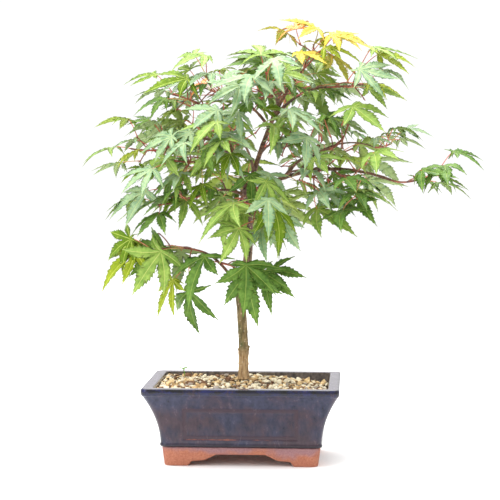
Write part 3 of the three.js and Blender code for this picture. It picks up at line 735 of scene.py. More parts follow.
class Finish:
    """A material whose nodes are laid out by short calls."""

    def __init__(self, name, roughness, gloss=0.5, **sockets):
        self.material = bpy.data.materials.new(name)
        self.material.use_nodes = True
        self.tree = self.material.node_tree
        self.shader = self.tree.nodes["Principled BSDF"]
        self.set(self.shader, Roughness=roughness, Specular_IOR_Level=gloss, **sockets)
        self.place = self.node("TexCoord").outputs["Object"]

    def join(self, entry, socket):
        """Gives a socket a number or a colour, or links another node's output to it."""
        if isinstance(entry, bpy.types.NodeSocket):
            self.tree.links.new(entry, socket)
        else:
            socket.default_value = entry

    def set(self, node, **sockets):
        for name, entry in sockets.items():
            self.join(entry, node.inputs[name.replace("_", " ")])
        return node

    def node(self, kind, **sockets):
        return self.set(self.tree.nodes.new("ShaderNode" + kind), **sockets)

    def noise(self, scale, detail=3, grit=0.55, stretch=(1, 1, 1), distortion=0):
        """Noise of a scale per metre, from 0 to 1, drawn out by stretch. Its grit is how much its
        finer layers count."""
        spread = self.node("Mapping", Scale=stretch, Vector=self.place)
        texture = self.node("TexNoise", Scale=scale, Detail=detail, Roughness=grit,
                            Distortion=distortion, Vector=spread.outputs["Vector"])
        return texture.outputs["Fac"]

    def cells(self, scale):
        return self.node("TexVoronoi", Scale=scale, Vector=self.place).outputs["Distance"]

    def range(self, value, low, high, start=0, end=1):
        node = self.node("MapRange", Value=value, From_Min=low, From_Max=high, To_Min=start, To_Max=end)
        return node.outputs["Result"]

    def mix(self, share, *colours):
        """A mix of two colours, each as it looks, 0 to 255, or another node's output."""
        node = self.node("Mix", Factor=share)
        node.data_type = "RGBA"
        for colour, index in zip(colours, MIX_COLOURS):
            self.join(linear(colour) if isinstance(colour, tuple) else colour, node.inputs[index])
        return node.outputs[MIX_RESULT]

    def shade(self, value, colours, low=0.3, high=0.7):
        """The first of two colours turns into the second as a value goes from low to high."""
        return self.mix(self.range(value, low, high), *colours)

    def sum(self, *values):
        node = self.node("Math")
        for value, socket in zip(values, node.inputs):
            self.join(value, socket)
        return node.outputs["Value"]

    def height(self):
        return self.node("SeparateXYZ", Vector=self.place).outputs["Z"]

    def value(self, name):
        node = self.node("Attribute")
        node.attribute_name = name
        return node.outputs["Fac"]

    def colour(self, entry):
        self.set(self.shader, Base_Color=entry)

    def rough(self, entry):
        self.set(self.shader, Roughness=entry)

    def bump(self, height, distance, strength=1):
        relief = self.node("Bump", Strength=strength, Distance=distance, Height=height)
        self.set(self.shader, Normal=relief.outputs["Normal"])


def grained_finish(name, colours, scale, roughness, gloss=0.5, relief=0, span=(0.3, 0.7), **grain):
    """A skin whose one grain gives it two shades, and relief where it has any."""
    finish = Finish(name, roughness, gloss)
    value = finish.noise(scale, **grain)
    finish.colour(finish.shade(value, colours, *span))
    if relief:
        finish.bump(value, relief)
    return finish.material


def blade_finish(name, light, dark, roughness=0.4, gloss=0.2):
    """A leaf's skin: fine mottling between two shades and a faint blistered relief."""
    finish = Finish(name, roughness, gloss)
    mottle = finish.noise(420, detail=4)
    patch = finish.noise(80, detail=2)
    tone = finish.sum(finish.range(mottle, 0.35, 0.65, 0, 0.4), finish.range(patch, 0.36, 0.64, 0, 0.6))
    finish.colour(finish.mix(tone, dark, light))
    finish.rough(finish.range(mottle, 0.3, 0.7, roughness - 0.06, roughness + 0.08))
    finish.bump(mottle, 0.0002, 0.5)
    return finish.material


# Leaf colours, each with a lighter and a darker shade, a vein and an underside, and how strongly
# it mirrors the sky
LEAF_TINTS = {
    "gold": ((186, 198, 62), (214, 156, 78), (226, 204, 104), (208, 198, 86), 0.12),
    "coral": ((238, 168, 92), (220, 132, 72), (240, 184, 118), (228, 166, 108), 0.15),
    # The bright lime is a painted glow, standing in for light shining through backlit leaves
    "backlit_lime": ((152, 166, 48), (118, 138, 28), (204, 212, 92), (182, 194, 76), 0.08),
    "fresh": ((112, 138, 36), (78, 108, 20), (186, 200, 92), (156, 176, 74), 0.08),
    # The pale grey-green is a painted sheen: the sky mirrored on upward-facing leaves
    "sheen_mint": ((150, 174, 128), (100, 136, 94), (178, 190, 126), (150, 170, 112), 0.32),
    "mid": ((148, 174, 80), (100, 134, 50), (186, 198, 108), (136, 156, 78), 0.2),
    # The deep green is partly the leaves' own darker green and partly painted shade for leaves inside and
    # low in the crown
    "deep_and_shaded": ((104, 138, 56), (58, 92, 30), (142, 162, 76), (106, 130, 54), 0.15),
}
# How often each colour comes up among the leaves of a spray
TINT_MIXES = {
    "gold": {"gold": 7, "coral": 1.5, "backlit_lime": 3},
    "warm": {"backlit_lime": 1.5, "coral": 0.3, "deep_and_shaded": 1.5, "mid": 4, "sheen_mint": 5},
    "fresh": {"fresh": 5, "backlit_lime": 3, "sheen_mint": 4, "mid": 2, "coral": 0.5},
    # This spray mix leans to the grey-green painted sheen
    "sheen_mint": {"sheen_mint": 6, "mid": 4, "fresh": 2, "deep_and_shaded": 2, "coral": 0.5},
    "green": {"mid": 5, "sheen_mint": 5, "deep_and_shaded": 2, "fresh": 1},
    "vivid": {"fresh": 6, "deep_and_shaded": 4, "sheen_mint": 2, "mid": 2, "coral": 0.6},
    # These last four mixes lean to the deep green, partly as painted shade for sprays low in or inside the
    # crown
    "deep_and_shaded": {"sheen_mint": 1, "deep_and_shaded": 5, "mid": 5},
    "low": {"backlit_lime": 1.2, "fresh": 0.5, "sheen_mint": 1.2, "mid": 0.9, "deep_and_shaded": 6},
    "dark": {"deep_and_shaded": 1},
    "inner": {"deep_and_shaded": 4, "mid": 4, "sheen_mint": 3, "fresh": 1},
}
TINT_SEED = 5000

# The parts of a leaf that have skins of their own: veins and undersides vary less, by a share of
# their shade, and are rougher
LEAF_PARTS = 3
BLADE, VEIN, UNDERSIDE = range(LEAF_PARTS)
PLAIN_SHADE = 0.92
VEIN_ROUGHNESS = 0.5
UNDER_ROUGHNESS = 0.6


def leaf_materials():
    """The skins of every colour, in the order of the leaf's parts."""
    materials = []
    for name, (light, dark, vein, under, gloss) in LEAF_TINTS.items():
        materials.append(blade_finish(f"leaf_{name}", light, dark, gloss=gloss))
        for part, colour, roughness in (("vein", vein, VEIN_ROUGHNESS), ("under", under, UNDER_ROUGHNESS)):
            shade = tuple(PLAIN_SHADE * amount for amount in colour)
            materials.append(blade_finish(f"{part}_{name}", colour, shade, roughness))
    return materials


# The visible leaf: a flat pattern of lobes with toothed edges, bent leaf by leaf. Each form has
# its lobes, as angles from its middle line and reaches as shares of its length.

LEAF_FORMS = (
    ((-100, 0.46), (-50, 0.76), (0, 1), (48, 0.82), (97, 0.52)),
    ((-106, 0.38), (-54, 0.84), (0, 1), (50, 0.74), (98, 0.42)),
    ((-128, 0.24), (-84, 0.56), (-42, 0.86), (0, 1), (42, 0.88), (84, 0.6), (130, 0.28)),
)
FORM_SHARES = (0.4, 0.35, 0.25)
SINUS_SHARE = 0.22
VISIBLE_NOTCH = 0.05
BASE_ROWS = 3
MOST_TEETH = 10
LOBE_BREADTH = 0.36
LOBE_BROADEST = 0.36
LOBE_POINT = 1.6
WIDEST_HALF = math.radians(26)
TOOTH_OUT = 0.13
TOOTH_IN = 0.08
TOOTH_FORWARD = 0.75
TOOTH_DEPTHS = (0.45, 1.5)
RIB_HALF_WIDTH = 0.0075
RIB_TAPER = 0.6
BLADE_THICKNESS = 0.007
# Points that agree to this many places are one point
POINT_PLACES = 6


class LeafPattern:
    """A flat leaf of unit length: its points with what bends them, and its faces."""

    def __init__(self, lobes, seed):
        self.lobes, self.rng = lobes, np.random.default_rng(seed)
        self.keys, self.points, self.triangles, self.marks = {}, [], [], []
        for lobe in range(len(lobes)):
            for hand in (-1, 1):
                self.add_half_lobe(lobe, hand)
        self.points = np.array(self.points)
        self.triangles, self.marks = np.array(self.triangles), np.array(self.marks)

    def side(self, lobe, hand):
        """The half angle and the sinus reach that a lobe shares with its neighbour on one hand."""
        angle, reach = self.lobes[lobe]
        other = lobe + hand
        if 0 <= other < len(self.lobes):
            next_angle, next_reach = self.lobes[other]
            return math.radians(abs(next_angle - angle) / 2), SINUS_SHARE * min(reach, next_reach)
        return math.radians(180 - abs(angle)), VISIBLE_NOTCH

    def margin(self, lobe, hand, rows):
        """How far along and how far out each row of a lobe's edge lies."""
        _, reach = self.lobes[lobe]
        half, sinus = self.side(lobe, hand)
        base = np.linspace(0, sinus, BASE_ROWS + 1)
        start, root = sinus * math.cos(half), sinus * math.sin(half)
        step = np.arange(1, rows - BASE_ROWS + 1)
        share = step / (rows - BASE_ROWS)
        broadest = LOBE_BREADTH * reach * math.sin(min(half, WIDEST_HALF))
        rise = root + (broadest - root) * np.sin(math.pi / 2 * np.minimum(share / LOBE_BROADEST, 1))
        fall = np.clip((share - LOBE_BROADEST) / (1 - LOBE_BROADEST), 0, 1)
        width = rise * np.cos(math.pi / 2 * fall) ** LOBE_POINT
        tooth = step % 2 == 1
        depth = self.rng.uniform(*TOOTH_DEPTHS, len(step))
        out = width * np.where(tooth, 1 + TOOTH_OUT * depth, 1 - TOOTH_IN * depth)
        out[-1] = 0
        spacing = (reach - start) / (rows - BASE_ROWS)
        along = start + (reach - start) * share + np.where(tooth, TOOTH_FORWARD * spacing, 0)
        return np.append(base * math.cos(half), along), np.append(base * math.sin(half), out)

    def corner(self, lobe, along, out, layer):
        """The number of a point, which neighbouring lobes share along the line between them."""
        angle, reach = self.lobes[lobe]
        angle = math.radians(angle)
        x = along * math.cos(angle) - out * math.sin(angle)
        y = along * math.sin(angle) + out * math.cos(angle)
        key = (round(x, POINT_PLACES), round(y, POINT_PLACES), layer)
        if key not in self.keys:
            self.keys[key] = len(self.points)
            root = max(self.side(lobe, hand)[1] for hand in (-1, 1))
            share = min(max(0.0, (along - root) / (reach - root)), 1.0)
            self.points.append((x, y, layer, lobe, share, abs(out), along))
        return self.keys[key]

    def add_face(self, quad, mark, flipped):
        for triangle in ((quad[0], quad[1], quad[2]), (quad[0], quad[2], quad[3])):
            if len(set(triangle)) == 3:
                self.triangles.append(triangle[::-1] if flipped else triangle)
                self.marks.append(mark)

    def add_half_lobe(self, lobe, hand):
        """One side of a lobe: vein, inner and outer blade above, and one plain skin below."""
        reach = self.lobes[lobe][1]
        rows = BASE_ROWS + 2 * round(MOST_TEETH * reach)
        step = np.arange(rows + 1)
        ribs = reach * step / rows
        rib_width = RIB_HALF_WIDTH * np.minimum(1, step / 2) * (1 - RIB_TAPER * step / rows)
        rib_width[-1] = 0
        along, out = self.margin(lobe, hand, rows)
        tops, lows = [], []
        for row in range(rows + 1):
            vein = (ribs[row], min(rib_width[row], out[row]))
            middle = ((vein[0] + along[row]) / 2, (vein[1] + out[row]) / 2)
            top = ((ribs[row], 0.0), vein, middle, (along[row], out[row]))
            tops.append([self.corner(lobe, ahead, hand * aside, 0) for ahead, aside in top])
            lows.append((self.corner(lobe, ribs[row], 0.0, int(row < rows)),
                         self.corner(lobe, along[row], hand * out[row], int(row < BASE_ROWS))))
        for near, far in zip(range(rows), range(1, rows + 1)):
            for column, mark in enumerate((VEIN, BLADE, BLADE)):
                corners = (tops[near][column], tops[far][column])
                corners += (tops[far][column + 1], tops[near][column + 1])
                self.add_face(corners, mark, hand == 1)
            corners = (lows[near][0], lows[near][1], lows[far][1], lows[far][0])
            self.add_face(corners, UNDERSIDE, hand == 1)


# How a leaf folds at its veins, how its lobes curl, sway and vary in length, and how its margin
# ripples. The fold opens toward a lobe's tip.
LEAF_FOLD = (0.2, 0.55)
FOLD_OPENS = 0.5
LOBE_CURL = (-0.04, 0.3)
BLADE_DROOP = 0.13
LOBE_SWAY = 0.12
LOBE_STRETCH = 0.16
RIPPLE = {"height": 0.012, "waves": 34, "margin": 0.1}
LIE_WANDER = 0.25
ROLL_WANDER = 0.5
# Shoots whose visible leaves are larger or smaller than the others
SHOOT_SCALES = {"top": 1.25, "right": 0.9, "right_lower": 0.95, "left_outer": 0.86,
                "left_middle": 0.92, "left_upper": 0.92, "low_left": 0.98, "low_front": 1.06,
                "front": 1.06, "front_right": 1.05, "top_left": 1.05}


def settled(leaf, rng):
    """The directions of a visible leaf: more level than the solid's by its lie, and rolled a bit."""
    lie = min(max(leaf.shoot.lie + rng.uniform(-LIE_WANDER, LIE_WANDER), 0), 1)
    facing = unit(leaf.facing * (1 - lie) + np.array((0, 0, lie)))
    roll = rng.uniform(-ROLL_WANDER, ROLL_WANDER)
    facing = facing * math.cos(roll) + leaf.side * math.sin(roll)
    axis = leaf.axis - facing * facing.dot(leaf.axis) / facing.dot(facing)
    axis, facing = unit(axis), unit(facing)
    return axis, np.cross(facing, axis), facing


def bent_leaf(pattern, leaf):
    """The points of one visible leaf."""
    x, y, layer, lobe, share, out, along = pattern.points.T
    lobe = lobe.astype(int)
    angle = np.radians([pattern.lobes[index][0] for index in lobe])
    rng = np.random.default_rng(leaf.seed)
    fold = rng.uniform(*LEAF_FOLD)
    ranges = (LOBE_CURL, (-LOBE_SWAY, LOBE_SWAY), (-LOBE_STRETCH, LOBE_STRETCH), (0, 2 * math.pi))
    curl, sway, stretch, phase = (rng.uniform(*ends, len(pattern.lobes))[lobe] for ends in ranges)
    lean = sway * share ** 2
    push = stretch * share
    flat_x = x + push * np.cos(angle) - lean * np.sin(angle)
    flat_y = y + push * np.sin(angle) + lean * np.cos(angle)
    lift = fold * out * (1 - FOLD_OPENS * share) - BLADE_DROOP * (x * x + y * y) - curl * share ** 2
    wave = np.sin(RIPPLE["waves"] * along + phase)
    lift += RIPPLE["height"] * wave * np.minimum(out / RIPPLE["margin"], 1)
    lift -= layer * BLADE_THICKNESS
    axis, side, facing = settled(leaf, rng)
    points = flat_x[:, None] * axis + flat_y[:, None] * side + lift[:, None] * facing
    return leaf.joint + points * leaf.length * SHOOT_SCALES.get(leaf.shoot.name, 1)


def shares_of(weights):
    weights = np.array(list(weights), float)
    return weights / weights.sum()


def build_leaves(leaves):
    """The leaves, joined into pieces by height, each leaf in the colour of its spray."""
    patterns = [LeafPattern(form, seed) for seed, form in enumerate(LEAF_FORMS)]
    names, materials = list(LEAF_TINTS), leaf_materials()
    piles, size = [Pile()], 0
    for leaf in sorted(leaves, key=lambda leaf: leaf.joint[2]):
        rng = np.random.default_rng(leaf.seed + TINT_SEED)
        pattern = patterns[rng.choice(len(patterns), p=FORM_SHARES)]
        mix = TINT_MIXES[leaf.shoot.tints]
        tint = names.index(rng.choice(list(mix), p=shares_of(mix.values())))
        size += len(pattern.triangles)
        if size > MOST_PIECE_TRIANGLES:
            piles.append(Pile())
            size = len(pattern.triangles)
        mark = pattern.marks + LEAF_PARTS * tint
        piles[-1].add(bent_leaf(pattern, leaf), pattern.triangles, mark=mark)
    return [pile.built(f"leaves_{number}", materials) for number, pile in enumerate(piles, 1)]


# Twigs and leaf stalks: where each starts along its line, from 0 at its root to 1 at its tip, so
# that a stem starts a little back in its bough. Then its radius at its root and at its tip, its
# rows and sides, and its swellings, each a place along it, a height and a spread.

Bar = namedtuple("Bar", "start root_radius tip_radius rows sides swellings")
TWIG_NODES = ((1, 0.22, 0.06), (0.5, 0.11, 0.05))
STEM = Bar(-0.03, 1.05, 0.75, 12, 8, TWIG_NODES)
SPUR = Bar(0, 0.72, 0.55, 12, 8, TWIG_NODES)
PETIOLE = Bar(0, 0.52, 0.34, 9, 6, ((0, 0.3, 0.06),))
PETIOLE_TIP = 0.5
TWIG_COLOURS = ((88, 46, 38), (156, 88, 64))
BUD = {"length": 1.9, "thickness": 0.55, "across": (0.3, 0.2, 1), "spread": 0.5, "aside": 0.4}
BUD_SPAN = (0.15, 0.98)
BUD_ROWS = 6
BUD_SIDES = 6
POD_FULLNESS = 0.8

ROSY_STALK = ((190, 88, 74), (206, 126, 92))
GREEN_STALK = ((178, 158, 84), (204, 136, 90))
GREEN_STALK_EVERY = 4
# How far behind and below the leaf's joint its stalk bends and ends
STALK_BEHIND = 1.5
STALK_BELOW = 0.25


def pod(share, start, end):
    """How full a pod is along the part of its length from start to end."""
    return np.sin(math.pi * (start + (end - start) * share)) ** POD_FULLNESS


def along_bar(bar):
    """The places of a bar's rows along its line, and their radii."""
    share = np.linspace(bar.start, 1, bar.rows)
    radii = taper(bar.root_radius, bar.tip_radius)(share)
    for at, size, spread in bar.swellings:
        radii += size * swell(share, at, spread)
    return share, radii


def build_twigs(plant):
    bark = grained_finish("young_twig", TWIG_COLOURS, 260, 0.5, 0.4, relief=0.0004,
                          span=(0.35, 0.65), stretch=(1, 1, 0.4))
    pile = Pile()
    for twig in plant.twigs:
        bar = STEM if twig.kind == "stem" else SPUR
        share, radii = along_bar(bar)
        pile.add(*tube(twig.line(share), radii, bar.sides))
        add_buds(pile, twig)
    return pile.built("twigs", [bark])


def add_buds(pile, twig):
    """A pair of small pointed buds at the end of a twig."""
    end = twig.line(1.0)
    along = end_direction(twig.line)
    aside = unit(np.cross(along, BUD["across"]))
    share = np.linspace(0, 1, BUD_ROWS)
    radii = BUD["thickness"] * pod(share, *BUD_SPAN)
    for hand in (-1, 1):
        way = unit(along + aside * hand * BUD["spread"])
        points = end + aside * hand * BUD["aside"] + np.outer(share * BUD["length"], way)
        pile.add(*tube(points, radii, BUD_SIDES))


def build_petioles(leaves):
    rosy = grained_finish("leaf_stalk", ROSY_STALK, 60, 0.4, 0.45, span=(0.4, 0.6))
    green = grained_finish("leaf_stalk_green", GREEN_STALK, 60, 0.4, 0.45, span=(0.4, 0.6))
    share, radii = along_bar(PETIOLE)
    radii[-1] = PETIOLE_TIP
    pile = Pile()
    for leaf in leaves:
        start, end = leaf.stalk(0), leaf.stalk(1)
        line = bend(start, end - leaf.axis * STALK_BEHIND, leaf.joint - leaf.facing * STALK_BELOW)
        mark = int(leaf.seed % GREEN_STALK_EVERY == 0)
        pile.add(*tube(line(share), radii, PETIOLE.sides), mark=mark)
    return pile.built("leaf_stalks", [rosy, green])


# Bark

TRUNK_ROWS = 260
TRUNK_SIDES = 40
BOUGH_SIDES = 16
BOUGH_ROW_LENGTH = 1.6
BARK_THICKNESS = 0.3
# Rings on the trunk where old leaf pairs fell, by height above the soil, and how far they spread
TRUNK_RINGS = ((22, 0.4), (42, 1.1), (61, 0.4), (94, 0.4), (128, 0.4), (160, 0.4))
RING_SPREAD = 1.3
# How deep the trunk's relief is, and how much deeper at the knot under the fork
TRUNK_RELIEF = 0.5
KNOT_RELIEF = {"at": 0.98, "spread": 0.04, "depth": 2.6}
# The healed ends of lost twigs: a share of the trunk, heading, rise, length and radius
TRUNK_STUBS = (
    (0.216, 20, 12, 1.8, 2.8),
    (0.44, 190, 62, 7, 1.5),
    (0.9, 330, 50, 9, 1.8),
    (0.975, 335, 12, 4.5, 4.6),
    (0.96, 215, -8, 3, 3.6),
)
STUB_ARCH = 0.05
STUB_TAPER = 0.35
STUB_TIP = 1.02
STUB_BLUNTNESS = 6
STUB_ROWS = 10
STUB_SIDES = 10
# Visible boughs: their thickness beside the solids', the collar at their roots and their rings
BOUGH_SHARE = 0.86
COLLAR = {"share": 0.5, "reach": 4}
BOUGH_RINGS = {"spacing": 26, "height": 0.3}
BOUGH_RELIEF = 0.3
# How often furrows waver round a limb, per millimetre, and what the bark's relief is made of:
# how much each layer counts, and how often it wavers across and along a limb
TRUNK_FURROWS = 0.9
BOUGH_FURROWS = 1.2
FURROWS = {"share": 0.6, "along": 0.05}
GRAIN = {"share": 0.25, "across": 1.3, "along": 0.5}
PORES = {"share": 0.9, "across": 1.1, "along": 0.9, "level": 0.32, "shift": 40}

# Bark colours, darker and lighter. The trunk's run up from tan to plum, between heights in metres.
TAN_BARK = ((134, 102, 66), (216, 184, 140))
OLIVE_BARK = ((66, 56, 34), (158, 136, 94))
PLUM_BARK = ((50, 36, 34), (134, 106, 94))
MOSSY = (92, 96, 60)
PORE_COLOUR = (206, 188, 162)
OLIVE_FROM = (0.104, 0.116)
PLUM_FROM = (0.185, 0.225)
HEIGHT_WANDER = 0.008
DARK_BOUGH = ((40, 26, 22), (104, 76, 54))
RED_BOUGH = ((66, 38, 32), (142, 104, 74))


def bark_relief(points, furrow):
    """Uneven relief about 1 deep: long shallow furrows, a finer grain and small pores."""
    def layer(point, across, along, shift=0):
        x, y, z = point
        return noise.noise(Vector((x * across + shift, y * across, z * along)))

    relief = np.empty(len(points))
    for index, point in enumerate(points):
        streak = layer(point, furrow, FURROWS["along"])
        grain = layer(point, GRAIN["across"], GRAIN["along"])
        pore = max(0.0, layer(point, PORES["across"], PORES["along"], PORES["shift"]) - PORES["level"])
        relief[index] = FURROWS["share"] * streak + GRAIN["share"] * grain + PORES["share"] * pore
    return relief


def rough_tube(line, radius_at, rows, sides, furrow, size):
    """A limb as a tube whose round wall is roughened by the bark's relief."""
    share = np.linspace(0, 1, rows)
    radii = np.repeat(radius_at(share)[:, None], sides, axis=1)
    points, _, _ = tube(line(share), radii, sides)
    wall = points[:rows * sides]
    size = np.repeat(np.broadcast_to(size(share) if callable(size) else size, rows), sides)
    radii = radii + (size * bark_relief(wall, furrow)).reshape(rows, sides)
    return tube(line(share), radii, sides)


def trunk_finish():
    """Tan at the foot, olive brown above with greener patches, reddish brown at the fork."""
    finish = Finish("trunk_bark", 0.75, 0.3)
    wander = finish.range(finish.noise(90, detail=2), 0, 1, -HEIGHT_WANDER, HEIGHT_WANDER)
    height = finish.sum(finish.height(), wander)
    streak = finish.noise(420, detail=5, stretch=(1, 1, 0.25))
    patch = finish.noise(150, stretch=(1, 1, 0.5))
    tan, olive, plum = (finish.shade(streak, colours) for colours in (TAN_BARK, OLIVE_BARK, PLUM_BARK))
    olive = finish.mix(finish.range(patch, 0.5, 0.7), olive, MOSSY)
    lower = finish.mix(finish.range(height, *OLIVE_FROM), tan, olive)
    whole = finish.mix(finish.range(height, *PLUM_FROM), lower, plum)
    spots = finish.range(finish.cells(320), 0.14, 0.26, 0.7, 0)
    finish.colour(finish.mix(spots, whole, PORE_COLOUR))
    finish.bump(streak, 0.0006, 0.8)
    return finish.material


def build_trunk(plant):
    line, radius_at = plant.limbs["trunk"]

    def ringed(share):
        rings = sum(size * swell(trunk_height(share), at, RING_SPREAD) for at, size in TRUNK_RINGS)
        return radius_at(share) + BARK_THICKNESS + rings

    def relief(share):
        knot = swell(share, KNOT_RELIEF["at"], KNOT_RELIEF["spread"])
        return TRUNK_RELIEF + KNOT_RELIEF["depth"] * knot

    pile = Pile()
    pile.add(*rough_tube(line, ringed, TRUNK_ROWS, TRUNK_SIDES, TRUNK_FURROWS, relief))
    share = np.linspace(0, 1, STUB_ROWS)
    girth = (1 - STUB_TAPER * share) * np.sqrt(np.clip(STUB_TIP - share ** STUB_BLUNTNESS, 0, 1))
    for place, heading, rise, length, radius in TRUNK_STUBS:
        stub = bending_line(line(place), heading, rise, length + radius * 2, STUB_ARCH)
        pile.add(*tube(stub(share), radius * girth, STUB_SIDES))
    return pile.built("trunk_bark", [trunk_finish()])


def bough_finish():
    finish = Finish("bough_bark", 0.62, 0.35)
    streak = finish.noise(380, detail=4)
    patch = finish.noise(110, detail=2)
    dark, red = (finish.shade(streak, colours) for colours in (DARK_BOUGH, RED_BOUGH))
    finish.colour(finish.mix(finish.range(patch, 0.4, 0.65), dark, red))
    finish.bump(streak, 0.0005, 0.8)
    return finish.material


def collared(branch, radius_at):
    """A bough's visible thickness, with a collar at its root and rings where leaf pairs fell."""
    def thickness(share):
        length = share * branch.length
        collar = COLLAR["share"] * branch.radius * np.exp(-length / COLLAR["reach"])
        spacing = BOUGH_RINGS["spacing"]
        rings = BOUGH_RINGS["height"] * swell(length % spacing, spacing / 2, RING_SPREAD)
        return BOUGH_SHARE * radius_at(share) + collar + rings
    return thickness


def build_boughs(plant):
    pile = Pile()
    for branch in BRANCHES:
        line, radius_at = plant.limbs[branch.name]
        rows = int(branch.length / BOUGH_ROW_LENGTH)
        pile.add(*rough_tube(line, collared(branch, radius_at), rows, BOUGH_SIDES, BOUGH_FURROWS,
                             BOUGH_RELIEF))
    return pile.built("bough_bark", [bough_finish()])


# Soil and gravel

SOIL_COLOURS = ((30, 21, 15), (84, 62, 44))
# The dark soil between the stones: how far it lies below the solid's top, how rough it is, and
# its grid
BED = {"below": 1.2, "height": 0.6, "scale": 0.35, "rows": 60, "columns": 80}
# How clear it keeps of the pot, and how broad its underside is beside its top
BED_ROOM = 1
BED_FOOT = 0.9

STONE_KINDS = 14
STONE_CORNERS = 13
# A stone's shape: how far its corners lie out, how broad and how tall it is beside its length,
# and its bevel, all as shares
STONE_REACH = (0.8, 1.1)
STONE_BREADTH = (0.62, 0.95)
STONE_HEIGHT = (0.42, 0.7)
STONE_BEVEL = 0.07
# How far stones lean, in degrees, and lie high or low, as a share of their radius
STONE_LEAN = 28
STONE_LIFT = 0.25
# Stones and the grit between them: how many, their least and greatest radius, how close they
# may come as a share of their radii, and how far they lie below the surface
STONE_SIZES = ((700, 2.4, 5.4, 0.68, 0), (500, 1.1, 2.1, 0.62, 0.9))
# How often a stone is tried, how far small ones outnumber large ones, and how far stones keep
# from the pot's wall and the trunk, as shares of their radius and in millimetres
STONE_TRIES = 12
SMALLNESS = 1.3
WALL_SHARE = 0.85
TRUNK_SHARE = 0.5
TRUNK_ROOM = 5.5
GRAVEL_SEED = 7
STONE_COLOURS = {
    "cream": ((244, 226, 192), (255, 248, 226), 6),
    "tan": ((220, 184, 132), (240, 212, 164), 4),
    "ochre": ((178, 142, 102), (216, 182, 136), 2),
    "brown": ((104, 76, 56), (150, 114, 86), 3.5),
    "grey": ((150, 138, 128), (196, 184, 172), 1),
}

SPROUT_PLACE = (-67, 50)
SPROUT_COLOURS = ((132, 178, 60), (96, 146, 44))
SPROUT_STALK = {"heading": 200, "rise": 78, "length": 7, "arch": 0.06}
SPROUT_BAR = Bar(0, 0.6, 0.4, 8, 6, ())
# The sprout's leaves: heading, rise and length, and then what they have in common
SPROUT_LEAVES = ((190, 22, 6.5), (15, 34, 6), (285, 10, 5))
SPROUT_BLADE = {"arch": 0.12, "half_width": 2, "flatness": 0.35, "span": (0.04, 0.98), "sides": 8}


def smooth_step(value, low, high):
    share = np.clip((value - low) / (high - low), 0, 1)
    return share * share * (3 - 2 * share)


def soil_height(x, y):
    dip = smooth_step(x / POT_WIDTH + y / POT_DEPTH, SOIL_DIP["start"], SOIL_DIP["end"])
    along = np.sin(2 * math.pi * x / SOIL_RIPPLE["along"])
    across = np.cos(2 * math.pi * y / SOIL_RIPPLE["across"])
    level = SOIL_LEVEL - SOIL_DIP["depth"] * dip + SOIL_RIPPLE["height"] * (along + across)
    away = np.hypot(x - TRUNK_COURSE[0][0], y - TRUNK_COURSE[0][1])
    slope = (MOUND_TOP - SOIL_LEVEL + MOUND_DEPTH) / (MOUND_FOOT_RADIUS - MOUND_TOP_RADIUS)
    mound = MOUND_TOP - np.maximum(away - MOUND_TOP_RADIUS, 0) * slope
    return np.maximum(level, mound)


def cavity_inset(z):
    return RIM_WIDTH + (POT_HEIGHT - z) * CAVITY_SLOPE


def build_bed():
    """The dark rough soil that shows between the stones."""
    finish = grained_finish("potting_soil", SOIL_COLOURS, 500, 0.95, relief=0.002, detail=4)
    room = cavity_inset(SOIL_LEVEL) + GAP + BED_ROOM
    rows, columns = BED["rows"], BED["columns"]
    x, y = np.meshgrid(np.linspace(-1, 1, columns) * (POT_WIDTH / 2 - room),
                       np.linspace(-1, 1, rows) * (POT_DEPTH / 2 - room))
    top = np.stack((x, y, soil_height(x, y) - BED["below"]), axis=-1).reshape(-1, 3)
    for point in top:
        point[2] += BED["height"] * noise.noise(Vector(point) * BED["scale"])
    foot = top * (BED_FOOT, BED_FOOT, 0) + (0, 0, CAVITY_FLOOR + BED_ROOM)
    cell = np.arange(rows - 1)[:, None] * columns + np.arange(columns - 1)
    quads = np.stack((cell, cell + 1, cell + columns + 1, cell + columns), axis=-1).reshape(-1, 4)
    grid = np.arange(rows * columns).reshape(rows, columns)
    edge = np.concatenate((grid[0], grid[1:, -1], grid[-1, -2::-1], grid[-2:0:-1, 0]))
    after = np.roll(edge, -1)
    walls = np.stack((after, edge, edge + grid.size, after + grid.size), axis=-1)
    faces = np.vstack((quads, quads[:, ::-1] + grid.size, walls))
    return mesh_object("soil_bed", np.vstack((top, foot)), [faces], [finish])


def stone_shapes(rng):
    """A few angular stones of unit radius, each the skin round some scattered points."""
    shapes = []
    for _ in range(STONE_KINDS):
        points = unit(rng.normal(size=(STONE_CORNERS, 3)))
        points *= rng.uniform(*STONE_REACH, (STONE_CORNERS, 1))
        points *= (1, rng.uniform(*STONE_BREADTH), rng.uniform(*STONE_HEIGHT))
        form = bmesh.new()
        for point in points:
            form.verts.new(point)
        bmesh.ops.convex_hull(form, input=form.verts)
        loose = [vertex for vertex in form.verts if not vertex.link_faces]
        bmesh.ops.delete(form, geom=loose, context="VERTS")
        bmesh.ops.bevel(form, geom=form.edges[:], offset=STONE_BEVEL, segments=1, affect="EDGES")
        bmesh.ops.triangulate(form, faces=form.faces)
        form.verts.index_update()
        corners = np.array([vertex.co for vertex in form.verts])
        faces = np.array([[vertex.index for vertex in face.verts] for face in form.faces])
        shapes.append((corners, faces))
        form.free()
    return shapes


def stone_turn(rng):
    """A turn about the upright by any angle, and then a lean."""
    spin, toward = rng.uniform(0, 2 * math.pi, 2)
    tilt = math.radians(rng.normal(0, STONE_LEAN))
    lean = Matrix.Rotation(tilt, 3, Vector((math.cos(toward), math.sin(toward), 0)))
    return np.array(lean @ Matrix.Rotation(spin, 3, "Z"))


